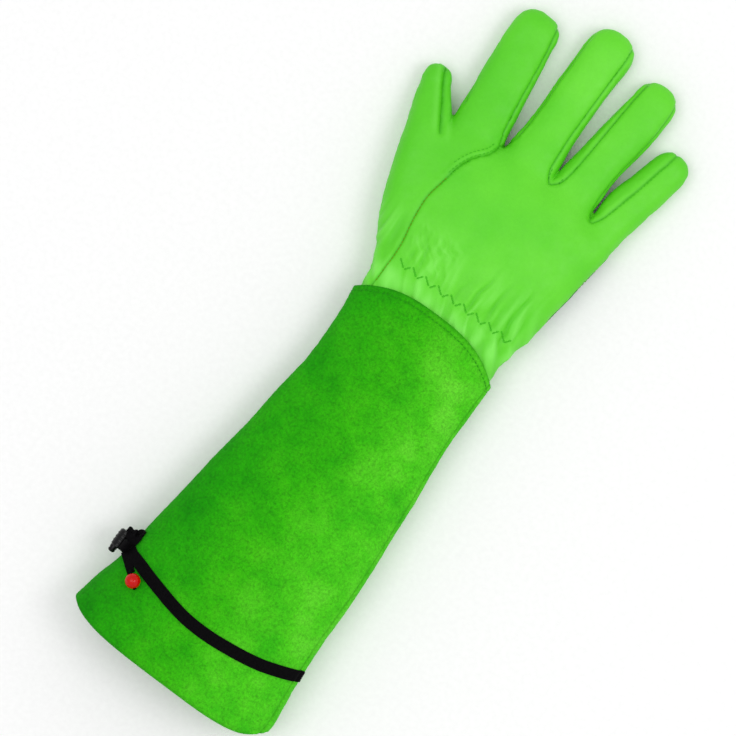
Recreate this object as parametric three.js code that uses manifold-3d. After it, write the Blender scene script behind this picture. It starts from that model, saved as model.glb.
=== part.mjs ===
// Rose pruning gauntlet, right hand, lying palm down.
// Millimetres. +Z is up, +Y runs from the cuff to the fingertips, +X points to the little finger.
// The origin is on the flat underside of the cuff, on the line between the two corners of its hem.
import * as THREE from 'three';
import Module from 'manifold-3d';

const wasm = await Module();
wasm.setup();

// Cuff
const cuffLength = 240;
const mouthWidth = 134;
const mouthHeight = 50;
const cuffWall = 2;
const hemFold = 8;
const hemBowBack = 11;
const hemBowPalm = 19;
const topBowBack = 10.8;
const topBowPalm = 3;
const seamGrooveDepth = 0.7;

// Hand
const handLength = 203;
const palmWidth = 118;
const palmHeight = 32;
const leatherWall = 1.4;
const wristLap = 14;
const gatherDepth = 0.9;
const gatherCount = 9;
const elasticReach = 23;

// Patch, band, lock and bead
const patchThickness = 1.2;
const bandWidth = 7.2;
const bandThickness = 1.2;
const tailWidth = 4.8;
const tailThickness = 1;
const tailCordDiameter = 2;
const beadDiameter = 8.8;
const beadBore = 2.6;
const lockDiameter = 8.8;
const lockLength = 11;
const buttonDiameter = 4.4;
const buttonReach = 4;
const buttonTravel = 3;
const anchorHeight = 6;

// Clearances: between neighbours that lie together, and the width of a seam between two panels
const gap = 0.3;
const seamGap = 0.34;

// Roundness of the sections: 2 is an ellipse, more is boxier
const cuffRoundness = { top: 2.1, bottom: 2.5 };
const handRoundness = { top: 2.3, bottom: 2.7 };
const digitRoundness = { top: 2.5, bottom: 2.7 };
// How far a section would reach below the surface that it lies on before it is pressed flat
const pressed = 1.14;
const seamLevel = 0.48;
// Forms drawn outside the leather are finer than the hollow inside it
const anglesFor = (angles, offset) => (offset < 0 ? angles.inside : angles.outside);

const green = { hand: 0x6bdc3b, cuff: 0x34a80f, patch: 0x0a8232 };
const finish = {
  leather: { color: green.hand, roughness: 0.5, metalness: 0 },
  suede: { color: green.cuff, roughness: 0.92, metalness: 0 },
  patchSuede: { color: green.patch, roughness: 0.92, metalness: 0 },
  webbing: { color: 0x08080a, roughness: 0.85, metalness: 0 },
  plastic: { color: 0x0c0c0e, roughness: 0.4, metalness: 0 },
  bead: { color: 0xd9200f, roughness: 0.15, metalness: 0 },
};

// Tables: a row for each section, lengths as shares of the named sizes in the comment
const table = (columns, rows) => rows.map(
  (row) => Object.fromEntries(columns.map((column, i) => [column, row[i]])));

// along: share of cuffLength. left, right: shares of mouthWidth. height: share of mouthHeight
const cuffRows = table(['along', 'left', 'right', 'height'], [
  [0.000, -0.496, 0.489, 1.000],
  [0.035, -0.484, 0.500, 1.000],
  [0.125, -0.455, 0.485, 0.980],
  [0.250, -0.427, 0.469, 0.940],
  [0.420, -0.396, 0.447, 0.890],
  [0.625, -0.358, 0.418, 0.830],
  [0.830, -0.329, 0.381, 0.770],
  [0.925, -0.333, 0.377, 0.745],
  [1.000, -0.349, 0.381, 0.740],
]);

// along: share of handLength past the cuff. left, right: shares of palmWidth.
// floor, height: shares of palmHeight. The last rows narrow to the webs between the fingers
const palmRows = table(['along', 'left', 'right', 'floor', 'height'], [
  [0.084, -0.402, 0.401, 0.000, 0.955],
  [0.113, -0.418, 0.415, 0.000, 0.920],
  [0.148, -0.438, 0.430, 0.000, 0.970],
  [0.192, -0.455, 0.444, 0.000, 1.000],
  [0.246, -0.470, 0.460, 0.000, 1.000],
  [0.325, -0.483, 0.475, 0.000, 0.970],
  [0.404, -0.495, 0.487, 0.000, 0.905],
  [0.478, -0.502, 0.497, 0.000, 0.810],
  [0.522, -0.505, 0.503, 0.030, 0.650],
  [0.549, -0.500, 0.500, 0.110, 0.370],
]);

// x, half: shares of palmWidth. y: share of handLength past the cuff. height: share of palmHeight.
// lift: share of the height at which the palm lies over its patch. Each first row is inside the palm
const digitColumns = ['x', 'y', 'half', 'height', 'lift'];
const digitRows = {
  index: table(digitColumns, [
    [-0.361, 0.468, 0.1000, 0.640, 3.0],
    [-0.376, 0.552, 0.1263, 0.700, 0.8],
    [-0.386, 0.600, 0.1254, 0.665, 0.3],
    [-0.417, 0.739, 0.1195, 0.620, 0.0],
    [-0.436, 0.850, 0.1144, 0.575, 0.0],
  ]),
  middle: table(digitColumns, [
    [-0.064, 0.468, 0.1000, 0.660, 3.0],
    [-0.069, 0.552, 0.1330, 0.715, 0.8],
    [-0.072, 0.611, 0.1246, 0.670, 0.3],
    [-0.083, 0.739, 0.1161, 0.620, 0.0],
    [-0.089, 0.926, 0.1186, 0.575, 0.0],
  ]),
  ring: table(digitColumns, [
    [0.163, 0.468, 0.1000, 0.640, 3.0],
    [0.182, 0.552, 0.1260, 0.700, 0.8],
    [0.188, 0.620, 0.1186, 0.655, 0.3],
    [0.210, 0.744, 0.1144, 0.610, 0.0],
    [0.236, 0.882, 0.1068, 0.560, 0.0],
  ]),
  little: table(digitColumns, [
    [0.392, 0.468, 0.0800, 0.560, 3.0],
    [0.417, 0.552, 0.1010, 0.655, 0.8],
    [0.429, 0.621, 0.1095, 0.600, 0.3],
    [0.462, 0.714, 0.0983, 0.560, 0.0],
    [0.480, 0.768, 0.0890, 0.520, 0.0],
  ]),
  thumb: table(digitColumns, [
    [-0.290, 0.108, 0.0700, 0.600, 3.0],
    [-0.407, 0.222, 0.1161, 0.780, 0.9],
    [-0.483, 0.345, 0.1271, 0.800, 0.4],
    [-0.559, 0.468, 0.1212, 0.750, 0.0],
    [-0.637, 0.550, 0.0881, 0.625, 0.0],
    [-0.676, 0.594, 0.0644, 0.500, 0.0],
  ]),
};
const digitTips = {
  index: { x: -0.448, y: 0.919 },
  middle: { x: -0.091, y: 1.000 },
  ring: { x: 0.242, y: 0.956 },
  little: { x: 0.494, y: 0.827 },
  thumb: { x: -0.703, y: 0.631 },
};
const digitNames = Object.keys(digitRows);

// Each strip between two fingers, and how high its seam runs on the back of either finger, as a share
// of the finger's own height over its middle
const fourchettes = table(['left', 'leftSeam', 'right', 'rightSeam'], [
  ['index', 0.50, 'middle', 0.42],
  ['middle', 0.76, 'ring', 0.76],
  ['ring', 0.42, 'little', 0.78],
]);
const palmSeam = 0.5;
const webStart = 0.49;
// Where the side seams pass from the palm to the thumb and to the little finger
const thumbRoot = 0.138;
const littleRoot = 0.5;

// Seam lines seen from above: x a share of palmWidth, y a share of handLength past the cuff
const seamPoint = (row) => new THREE.Vector2(row.x * palmWidth, cuffLength + row.y * handLength);
const seamLine = (rows, count) => new THREE.SplineCurve(
  table(['x', 'y'], rows).map(seamPoint)).getPoints(count);
const backSeamLine = () => seamLine([
  [-0.229, 0.575], [-0.233, 0.548], [-0.262, 0.505], [-0.305, 0.468], [-0.339, 0.424], [-0.356, 0.370],
  [-0.373, 0.296], [-0.356, 0.212], [-0.335, 0.148], [-0.331, 0.000], [-0.331, -0.100],
], 12);
const thumbBackSeamLine = () => seamLine([
  [-0.717, 0.648], [-0.690, 0.624], [-0.650, 0.600], [-0.593, 0.552], [-0.512, 0.476],
], 5);
const thumbHeelSeamLine = () => seamLine([
  [-0.460, 0.074], [-0.410, 0.080], [-0.350, 0.054], [-0.290, 0.052], [-0.210, 0.084],
  [-0.150, 0.140], [-0.135, 0.210], [-0.190, 0.290], [-0.290, 0.360], [-0.400, 0.420], [-0.512, 0.476],
], 14);
const patchLine = () => seamLine([
  [-0.365, 0.470], [-0.200, 0.486], [0.100, 0.482], [0.300, 0.474], [0.560, 0.448],
  [0.560, 0.320], [0.560, 0.180], [0.440, 0.182], [0.395, 0.222], [0.310, 0.256], [0.150, 0.268],
  [0.000, 0.272], [-0.110, 0.300], [-0.230, 0.352], [-0.340, 0.400], [-0.365, 0.470],
], 30);

// Straps in plan: x a share of mouthWidth, y a share of cuffLength
const cuffPoint = ([x, y]) => new THREE.Vector2(x * mouthWidth, y * cuffLength);
const bandLine = () => new THREE.SplineCurve([
  [-0.475, 0.170], [-0.430, 0.160], [-0.373, 0.152], [-0.300, 0.140], [-0.224, 0.129], [-0.149, 0.119],
  [-0.075, 0.1125], [0.000, 0.1105], [0.075, 0.1117], [0.149, 0.116], [0.224, 0.122], [0.300, 0.131],
  [0.373, 0.144], [0.448, 0.160], [0.500, 0.174],
].map(cuffPoint)).getPoints(20);
const tailStart = cuffPoint([-0.449, 0.153]);
const tailEnd = cuffPoint([-0.377, 0.124]);
const beadPlace = cuffPoint([-0.346, 0.110]);
const lockPlace = cuffPoint([-0.4866, 0.1725]);
const anchorEnd = cuffPoint([-0.438, 0.2235]);

const palmLift = patchThickness + gap;
const patchReach = gap + patchThickness;

// Value of one column of a table at a place between its rows, along a smooth curve
function columnAt(rows, column, along) {
  const last = rows.length - 1;
  const k = Math.min(Math.max(rows.findIndex((row) => row.along > along) - 1, 0), last - 1);
  const from = along >= rows[last].along ? last - 1 : k;
  const slope = (i) => {
    const a = rows[Math.max(i - 1, 0)];
    const b = rows[Math.min(i + 1, last)];
    return (b[column] - a[column]) / (b.along - a.along);
  };
  const a = rows[from];
  const b = rows[from + 1];
  const span = b.along - a.along;
  const t = Math.min((along - a.along) / span, 1);
  const t2 = t * t;
  const t3 = t2 * t;
  return a[column] * (2 * t3 - 3 * t2 + 1) + slope(from) * span * (t3 - 2 * t2 + t)
    + b[column] * (3 * t2 - 2 * t3) + slope(from + 1) * span * (t3 - t2);
}

// Point of a section at an angle, 0 at the little-finger side and 90 degrees at the back.
// The underside is pressed flat at the section's own lowest level.
function sectionPoint(section, degrees, offset) {
  const angle = THREE.MathUtils.degToRad(degrees);
  const above = Math.sin(angle) >= 0;
  const roundness = above ? section.roundness.top : section.roundness.bottom;
  const share = (value) => Math.sign(value) * Math.abs(value) ** (2 / roundness);
  const reach = above ? section.up + offset : (section.down + offset) * section.pressed;
  return {
    across: (section.half + offset) * share(Math.cos(angle)),
    level: Math.max(section.middle + reach * share(Math.sin(angle)), section.floor - offset),
  };
}

function makeSection(left, right, floor, height, roundness) {
  return {
    centre: (left + right) / 2,
    half: (right - left) / 2,
    floor,
    middle: floor + height * seamLevel,
    up: height * (1 - seamLevel),
    down: height * seamLevel,
    pressed,
    roundness,
  };
}

// Solids
function toManifold(vertProperties, triVerts) {
  return new wasm.Manifold(new wasm.Mesh({
    numProp: 3,
    vertProperties: Float32Array.from(vertProperties),
    triVerts: Uint32Array.from(triVerts),
  }));
}

function signedVolume(points, triangles) {
  let volume = 0;
  for (let i = 0; i < triangles.length; i += 3) {
    const [a, b, c] = [0, 1, 2].map((k) => points[triangles[i + k]]);
    volume += a.dot(b.clone().cross(c)) / 6;
  }
  return volume;
}

function solidFromTriangles(points, triangles) {
  const outward = signedVolume(points, triangles) > 0;
  const ordered = outward ? triangles : triangles.slice().reverse();
  return toManifold(points.flatMap((point) => point.toArray()), ordered);
}

function joinRings(triangles, a, b, count) {
  for (let i = 0; i < count; i += 1) {
    const next = (i + 1) % count;
    triangles.push(a + i, a + next, b + next, a + i, b + next, b + i);
  }
}

// Closed solid through a row of rings, capped at both ends
function loft(rings) {
  const count = rings[0].length;
  const points = rings.flat();
  const triangles = [];
  for (let k = 0; k < rings.length - 1; k += 1) joinRings(triangles, k * count, (k + 1) * count, count);
  const addCap = (ring, base, flipped) => {
    const centre = points.length;
    points.push(ring.reduce((sum, p) => sum.add(p), new THREE.Vector3()).divideScalar(count));
    for (let i = 0; i < count; i += 1) {
      const pair = [base + i, base + (i + 1) % count];
      triangles.push(centre, ...(flipped ? pair.reverse() : pair));
    }
  };
  addCap(rings[0], 0, true);
  addCap(rings[rings.length - 1], (rings.length - 1) * count, false);
  return solidFromTriangles(points, triangles);
}

// Closed tube wall between outer and inner rings, open at both ends
function tubeWall(outer, inner) {
  const count = outer[0].length;
  const loop = [...outer, ...inner.slice().reverse()];
  const triangles = [];
  loop.forEach((ring, k) => joinRings(triangles, k * count, ((k + 1) % loop.length) * count, count));
  return solidFromTriangles(loop.flat(), triangles);
}

function solidFromGeometry(geometry) {
  const source = geometry.index ? geometry.toNonIndexed() : geometry;
  const position = source.getAttribute('position');
  const points = [];
  const known = new Map();
  const triangles = [];
  for (let i = 0; i < position.count; i += 1) {
    const point = new THREE.Vector3().fromBufferAttribute(position, i);
    const key = point.toArray().map((value) => Math.round(value * 1e4)).join(',');
    if (!known.has(key)) {
      known.set(key, points.length);
      points.push(point);
    }
    triangles.push(known.get(key));
  }
  const whole = [];
  for (let i = 0; i < triangles.length; i += 3) {
    const corners = triangles.slice(i, i + 3);
    if (new Set(corners).size === 3) whole.push(...corners);
  }
  return solidFromTriangles(points, whole);
}

function toGeometry(solid) {
  const mesh = solid.getMesh();
  const geometry = new THREE.BufferGeometry();
  geometry.setAttribute('position', new THREE.BufferAttribute(mesh.vertProperties, mesh.numProp));
  geometry.setIndex(new THREE.BufferAttribute(mesh.triVerts, 1));
  geometry.computeVertexNormals();
  return geometry;
}

function prism(outline, low, high) {
  const geometry = new THREE.ExtrudeGeometry(new THREE.Shape(outline), {
    depth: high - low, bevelEnabled: false, steps: 1,
  });
  geometry.translate(0, 0, low);
  return solidFromGeometry(geometry);
}

// Upright strip along a line seen from above
function ribbon(line, width, low, high) {
  const sides = [1, -1].map((side) => line.map((point, i) => {
    const before = line[Math.max(i - 1, 0)];
    const after = line[Math.min(i + 1, line.length - 1)];
    const along = after.clone().sub(before).normalize();
    return new THREE.Vector2(-along.y, along.x).multiplyScalar(side * width / 2).add(point);
  }));
  return prism([...sides[0], ...sides[1].reverse()], low, high);
}

// Turned piece along a line, from a profile of [radius, distance] pairs that starts and ends on the axis
function turned(profile, segments, place, direction) {
  const geometry = new THREE.LatheGeometry(profile.map(([r, h]) => new THREE.Vector2(r, h)), segments);
  const turn = new THREE.Quaternion().setFromUnitVectors(
    new THREE.Vector3(0, 1, 0), direction.clone().normalize());
  geometry.applyQuaternion(turn);
  geometry.translate(place.x, place.y, place.z);
  return solidFromGeometry(geometry);
}

// Cuff form
const cuffTurn = 10;
const sideSeam = 17;
const sideSeamHalf = 1.7;
const cuffAngles = [];
for (let angle = 0; angle < 360; angle += cuffTurn) {
  if (Math.abs(angle - sideSeam) > 2 * sideSeamHalf) cuffAngles.push(angle);
}
cuffAngles.push(sideSeam - sideSeamHalf, sideSeam, sideSeam + sideSeamHalf);
cuffAngles.sort((a, b) => a - b);

function cuffSection(along) {
  const at = (column) => columnAt(cuffRows, column, Math.min(along, 1));
  return makeSection(
    at('left') * mouthWidth, at('right') * mouthWidth, 0, at('height') * mouthHeight, cuffRoundness);
}

// How far a point of a ring lies along the cuff: hem and top edge are bowed, more on one side
function cuffReach(along, across, half, back) {
  const side = Math.min(Math.abs(across / half), 1);
  const hem = (back ? hemBowBack : hemBowPalm) * (1 - side ** 4) * Math.max(1 - along, 0) ** 2;
  const top = (back ? topBowBack : topBowPalm) * (1 - side ** 2) * Math.max(along, 0) ** 2;
  return along * cuffLength - hem + top;
}

function cuffRing(along, offset, groove) {
  const section = cuffSection(Math.max(along, 0));
  return cuffAngles.map((angle) => {
    const dent = groove && angle === sideSeam ? -groove : 0;
    const { across, level } = sectionPoint(section, angle, offset + dent);
    const y = cuffReach(along, across, section.half + offset, angle < 180);
    return new THREE.Vector3(section.centre + across, y, level);
  });
}

const hemShare = hemFold / cuffLength;
const hemStep = 0.6 / cuffLength;
const hemLayers = 1.6;
const cuffStations = [0, hemShare, 0.1, 0.22, 0.42, 0.625, 0.83, 0.93, 1];
const cuffInnerStations = [0, hemShare, hemShare + hemStep, 0.22, 0.42, 0.625, 0.83, 0.93, 1];

function makeCuff() {
  const outer = cuffStations.map((along) => cuffRing(along, 0, seamGrooveDepth));
  const inner = cuffInnerStations.map((along) => {
    const layers = along <= hemShare ? hemLayers : 1;
    return cuffRing(along, -cuffWall * layers, 0);
  });
  return tubeWall(outer, inner);
}

const cuffForm = (offset) => loft(cuffStations.map((along) => cuffRing(along, offset, 0)));

// Level of the cuff's back, or of a surface offset from it, over a point seen from above
function cuffLevel(point, offset) {
  let along = point.y / cuffLength;
  let section = cuffSection(along);
  for (let i = 0; i < 6; i += 1) {
    section = cuffSection(along);
    const across = point.x - section.centre;
    along += (point.y - cuffReach(along, across, section.half + offset, true)) / cuffLength;
  }
  const share = Math.min(Math.abs(point.x - section.centre) / (section.half + offset), 1);
  const power = section.roundness.top;
  return section.middle + (section.up + offset) * (1 - share ** power) ** (1 / power);
}

// Hand form
const steppedAngles = (backStep, palmStep) => {
  const angles = [];
  for (let angle = 0; angle < 180; angle += backStep) angles.push(angle);
  for (let angle = 180; angle < 360; angle += palmStep) angles.push(angle);
  return angles;
};
const palmAngles = { outside: steppedAngles(5, 15), inside: steppedAngles(15, 18) };
const digitAngles = { outside: steppedAngles(22.5, 22.5), inside: steppedAngles(36, 36) };
const smoothEdge = 10;

// In the lap the hand leather follows the cuff's own section, one wall and two clearances further in
const lapInset = cuffWall + 2 * gap;
const lapShares = [-wristLap / handLength, (topBowBack - 1) / handLength];

function lapSection(share) {
  const cuff = cuffSection(1 + share * handLength / cuffLength);
  const height = cuff.up + cuff.down - 2 * lapInset;
  return makeSection(cuff.centre - cuff.half + lapInset, cuff.centre + cuff.half - lapInset,
    lapInset, height, cuffRoundness);
}

function palmSection(row) {
  return makeSection(row.left * palmWidth, row.right * palmWidth,
    palmLift + row.floor * palmHeight, row.height * palmHeight, handRoundness);
}

// Gathers on the back, deepest at the elastic and fading over the hand
const gatherFade = 2.2;

function gatherAt(distance, across, half) {
  const past = (distance - elasticReach) / elasticReach;
  const rise = THREE.MathUtils.smoothstep(distance, topBowBack, elasticReach);
  const fade = Math.exp(-gatherFade * past * past) * rise;
  return -gatherDepth * fade * (1 - Math.cos(Math.PI * gatherCount * (across / half + 1))) / 2;
}

function palmRing(section, distance, offset) {
  return anglesFor(palmAngles, offset).map((angle) => {
    const { across, level } = sectionPoint(section, angle, offset);
    const gathered = offset >= 0 && angle > smoothEdge && angle < 180 - smoothEdge;
    const gather = gathered ? gatherAt(distance, across, section.half + offset) : 0;
    return new THREE.Vector3(section.centre + across, cuffLength + distance, level + gather);
  });
}

function palmForm(offset) {
  const open = offset < 0 ? 4 * leatherWall : 0;
  const lap = lapShares.map((share, i) => {
    const distance = share * handLength - (i === 0 ? open : 0);
    return palmRing(lapSection(share), distance, offset);
  });
  const shown = palmRows.map((row, i) => {
    const last = i === palmRows.length - 1 ? offset : 0;
    return palmRing(palmSection(row), row.along * handLength + last, offset);
  });
  return loft([...lap, ...shown]);
}

// A digit's stations: centre, the direction across it, and its section, with a rounded tip
const tipTurns = { outside: [30, 58, 82], inside: [40, 78] };

function digitStations(name, offset) {
  const stations = digitRows[name].map((row) => ({
    place: seamPoint(row),
    section: makeSection(-row.half * palmWidth, row.half * palmWidth, row.lift * palmLift,
      row.height * palmHeight, digitRoundness),
  }));
  const end = stations[stations.length - 1];
  const tip = seamPoint(digitTips[name]).sub(end.place);
  const reach = tip.length() + offset;
  const tipStations = anglesFor(tipTurns, offset).map((degrees) => {
    const angle = THREE.MathUtils.degToRad(degrees);
    const { section } = end;
    const shrink = Math.cos(angle);
    const smaller = (size) => (size + offset) * shrink - offset;
    return {
      place: end.place.clone().addScaledVector(tip.clone().normalize(), reach * Math.sin(angle)),
      section: {
        ...section, half: smaller(section.half), up: smaller(section.up), down: smaller(section.down),
      },
    };
  });
  const all = [...stations, ...tipStations];
  return all.map((station, i) => {
    const before = all[Math.max(i - 1, 0)].place;
    const after = all[Math.min(i + 1, all.length - 1)].place;
    const along = after.clone().sub(before).normalize();
    return { ...station, across: new THREE.Vector3(along.y, -along.x, 0) };
  });
}

function digitPoint(station, degrees, offset) {
  const { across, level } = sectionPoint(station.section, degrees, offset);
  return new THREE.Vector3(station.place.x, station.place.y, level).addScaledVector(station.across, across);
}

function digitForm(name, offset) {
  return loft(digitStations(name, offset).map(
    (station) => anglesFor(digitAngles, offset).map((angle) => digitPoint(station, angle, offset))));
}

function handForm(offset) {
  return digitNames.reduce((form, name) => form.add(digitForm(name, offset)), palmForm(offset));
}

// Thin fin along a digit or the palm, from its middle to just past its surface, that parts two panels
const finOverrun = 1.5;

function fin(centres, points, reach) {
  return loft(centres.map((centre, k) => {
    const outward = points[k].clone().sub(centre).normalize();
    const before = centres[Math.max(k - 1, 0)];
    const after = centres[Math.min(k + 1, centres.length - 1)];
    const along = after.clone().sub(before).normalize();
    const thick = along.clone().cross(outward).normalize().multiplyScalar(seamGap / 2);
    const start = centre.clone().addScaledVector(outward, -finOverrun);
    const end = points[k].clone().addScaledVector(outward, reach);
    return [
      start.clone().sub(thick), start.clone().add(thick), end.clone().add(thick), end.clone().sub(thick),
    ];
  }));
}

function digitFin(name, degrees, start, reach) {
  const stations = digitStations(name, 0);
  const centres = stations.map((s) => new THREE.Vector3(s.place.x, s.place.y, s.section.middle));
  const points = stations.map((s) => digitPoint(s, degrees, 0));
  const y = cuffLength + start * handLength;
  const after = centres.findIndex((centre) => centre.y > y);
  const share = (y - centres[after - 1].y) / (centres[after].y - centres[after - 1].y);
  [centres, points].forEach((line) => {
    line.splice(0, after, line[after - 1].clone().lerp(line[after], share));
  });
  const last = centres.length - 1;
  const onward = centres[last].clone().sub(centres[last - 1]).normalize().multiplyScalar(2 * leatherWall);
  centres.push(centres[last].clone().add(onward));
  points.push(points[last].clone().add(onward));
  return fin(centres, points, reach);
}

// A finger's axis and the level of a seam beside it: share 1 is the back, -1 the palm
function seamLevels(name, share) {
  const stations = digitStations(name, 0);
  const closed = stations.length - tipTurns.outside.length;
  const levels = stations.map(({ place, section }, i) => {
    const kept = share * THREE.MathUtils.clamp(1 - (i - closed + 1) / 2, 0, 1);
    const reach = share > 0 ? section.up : section.down;
    return new THREE.Vector3(place.x, place.y, section.middle + kept * reach);
  });
  const last = levels[levels.length - 1];
  return [...levels, last.clone().setY(last.y + 2 * leatherWall)];
}

function levelAt(levels, y) {
  const after = Math.max(levels.findIndex((point) => point.y >= y), 1);
  if (y >= levels[levels.length - 1].y) return levels[levels.length - 1];
  const a = levels[after - 1];
  const b = levels[after];
  return a.clone().lerp(b, (y - a.y) / (b.y - a.y));
}

// Thin level cut between the axes of two neighbouring fingers, past their tips and through the web,
// which parts the strip between them from the back or from the palm
function webPlate(left, leftShare, right, rightShare) {
  const a = seamLevels(left, leftShare);
  const b = seamLevels(right, rightShare);
  const from = cuffLength + webStart * handLength;
  const places = [from, ...[...a, ...b].map((point) => point.y).filter((y) => y > from + 1)];
  places.sort((p, q) => p - q);
  const apart = places.filter((y, i) => i === 0 || y - places[i - 1] > 0.2);
  return loft(apart.map((y) => {
    const p = levelAt(a, y);
    const q = levelAt(b, y);
    const overrun = finOverrun / (q.x - p.x);
    const line = [[-overrun, p.z], [0.45, p.z], [0.55, q.z], [1 + overrun, q.z]].map(
      ([share, level]) => new THREE.Vector3(THREE.MathUtils.lerp(p.x, q.x, share), y, level));
    const side = (way) => line.map((point) => point.clone().setZ(point.z + way * seamGap / 2));
    return [...side(-1), ...side(1).reverse()];
  }));
}

function palmFin(degrees, to, reach) {
  const last = { along: to };
  ['left', 'right', 'floor', 'height'].forEach((column) => {
    last[column] = columnAt(palmRows, column, to);
  });
  const sections = [
    ...lapShares.map((share) => ({ share, section: lapSection(share) })),
    ...[...palmRows.filter((row) => row.along < to), last].map(
      (row) => ({ share: row.along, section: palmSection(row) })),
  ];
  const rings = sections.map(({ share, section }) => ({ y: cuffLength + share * handLength, section }));
  rings.unshift({ ...rings[0], y: rings[0].y - leatherWall });
  const centres = rings.map(({ y, section }) => new THREE.Vector3(section.centre, y, section.middle));
  const points = rings.map(({ y, section }) => {
    const { across, level } = sectionPoint(section, degrees, 0);
    return new THREE.Vector3(section.centre + across, y, level);
  });
  return fin(centres, points, reach);
}

// A digit's edge seen from above, as the place across at a place along
function edgeAt(name, degrees, y) {
  const points = digitStations(name, 0).map((station) => digitPoint(station, degrees, 0));
  const after = Math.max(points.findIndex((point) => point.y > y), 1);
  const a = points[after - 1];
  const b = points[after];
  return a.x + (b.x - a.x) * (y - a.y) / (b.y - a.y);
}

// The cut down through the crotch between thumb and index finger: found where their edges part
function crotchLine() {
  const start = seamPoint({ x: -0.512, y: 0.470 });
  let low = start.y;
  let high = cuffLength + 0.6 * handLength;
  for (let i = 0; i < 24; i += 1) {
    const y = (low + high) / 2;
    if (edgeAt('thumb', 0, y) > edgeAt('index', 180, y)) low = y;
    else high = y;
  }
  const inside = low - 2 * leatherWall;
  const outside = low + 2 * leatherWall;
  const between = (y) => (edgeAt('thumb', 0, y) + edgeAt('index', 180, y)) / 2;
  return [
    start, new THREE.Vector2(edgeAt('index', 180, low), inside),
    new THREE.Vector2(edgeAt('index', 180, low), low), new THREE.Vector2(between(outside), outside),
  ];
}

// Upright cut along a line, run past both its ends
function seamRibbon(line, low, high) {
  const last = line.length - 1;
  const onward = (from, to) => to.clone().add(to.clone().sub(from).normalize().multiplyScalar(seamGap));
  const longer = [onward(line[1], line[0]), ...line.slice(1, last), onward(line[last - 1], line[last])];
  return ribbon(longer, seamGap, low, high);
}

// Upright cut through the side wall, where the seam along a digit starts lower than the palm's own
function sideStep(from, to, y) {
  const line = [seamPoint({ x: from, y }), seamPoint({ x: to, y })];
  return ribbon(line, seamGap, palmHeight * stepLevels.low, palmHeight * stepLevels.high);
}

// How high the upright cuts start or end, as shares of palmHeight
const stepLevels = { low: 0.34, high: 0.56 };
const backSeamLow = 0.4;
const thumbSeamLow = 0.2;
const heelSeamHigh = 0.55;
// How far each fin runs past the surface: more where a digit's root stands out beside it
const finReach = { index: 1, little: 3, thumb: 5, palmLittleSide: 3, palmThumbSide: 6 };

function seamCuts() {
  const high = palmHeight * 2;
  const cuts = [
    seamRibbon(backSeamLine(), palmLift + palmHeight * backSeamLow, high),
    seamRibbon(thumbBackSeamLine(), palmHeight * thumbSeamLow, high),
    seamRibbon(thumbHeelSeamLine(), -high, palmHeight * heelSeamHigh),
    palmFin(0, littleRoot, finReach.palmLittleSide),
    palmFin(180, thumbRoot, finReach.palmThumbSide),
    digitFin('index', 180, webStart, finReach.index),
    digitFin('little', 0, littleRoot, finReach.little),
    digitFin('thumb', 180, thumbRoot, finReach.thumb),
    sideStep(-0.48, -0.38, thumbRoot),
    sideStep(0.45, 0.54, littleRoot),
  ];
  const crotch = crotchLine();
  crotch.slice(1).forEach((point, i) => cuts.push(seamRibbon([crotch[i], point], -high, high)));
  fourchettes.forEach(({ left, leftSeam, right, rightSeam }) => {
    cuts.push(webPlate(left, leftSeam, right, rightSeam));
    cuts.push(webPlate(left, -palmSeam, right, -palmSeam));
  });
  return cuts;
}

// A point on the middle of each panel, by which the parted pieces are told apart
function panelMarks() {
  const onDigit = (name, station, degrees) => digitPoint(digitStations(name, 0)[station], degrees, 0);
  const onPalm = (x, y, level) => {
    const point = seamPoint({ x, y });
    return new THREE.Vector3(point.x, point.y, level);
  };
  return {
    back_panel: onPalm(0.1, 0.3, palmLift + palmHeight),
    index_thumb_panel: onDigit('index', 3, 100),
    palm_panel: onPalm(0.1, 0.2, palmLift),
    thumb_palm: onDigit('thumb', 3, 280),
    fourchette_index_middle: onDigit('middle', 3, 180),
    fourchette_middle_ring: onDigit('ring', 3, 180),
    fourchette_ring_little: onDigit('little', 3, 180),
  };
}

function distanceTo(solid, mark) {
  const { vertProperties, numProp } = solid.getMesh();
  let nearest = Infinity;
  for (let i = 0; i < vertProperties.length; i += numProp) {
    nearest = Math.min(nearest, mark.distanceTo(new THREE.Vector3().fromArray(vertProperties, i)));
  }
  return nearest;
}

function makePanels() {
  const shell = handForm(0).subtract(handForm(-leatherWall));
  const parted = seamCuts().reduce((rest, cut) => rest.subtract(cut), shell).decompose();
  const panels = {};
  Object.entries(panelMarks()).forEach(([name, mark]) => {
    const ranked = parted.map((solid) => ({ solid, distance: distanceTo(solid, mark) }));
    ranked.sort((a, b) => a.distance - b.distance);
    panels[name] = ranked[0].solid;
  });
  return panels;
}

function makePatch() {
  const sheet = handForm(patchReach).subtract(handForm(gap));
  const top = palmLift + palmHeight * seamLevel - gap;
  const pieces = sheet.intersect(prism(patchLine(), 0, top)).decompose();
  pieces.sort((a, b) => b.volume() - a.volume());
  return pieces[0];
}

// Band, tail and bead
const lockLevel = mouthHeight * 0.44;
const lockCentre = new THREE.Vector3(lockPlace.x, lockPlace.y, lockLevel);
const beadLevel = cuffLevel(beadPlace, gap + beadDiameter / 2);
const beadCentre = new THREE.Vector3(beadPlace.x, beadPlace.y, beadLevel);
const alongCuff = new THREE.Vector3(0, 1, 0);

// The band leaves the side of the cuff and drops through the lock: places in the plane across the cuff.
// Heights over the lock's middle at which the tongue lies on the cuff, and at which it hangs upright
const tongueOnCuff = [14, 11];
const tongueUpright = [5, 2];
const tongueShift = -1.4;
const slotShare = 0.28;

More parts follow.
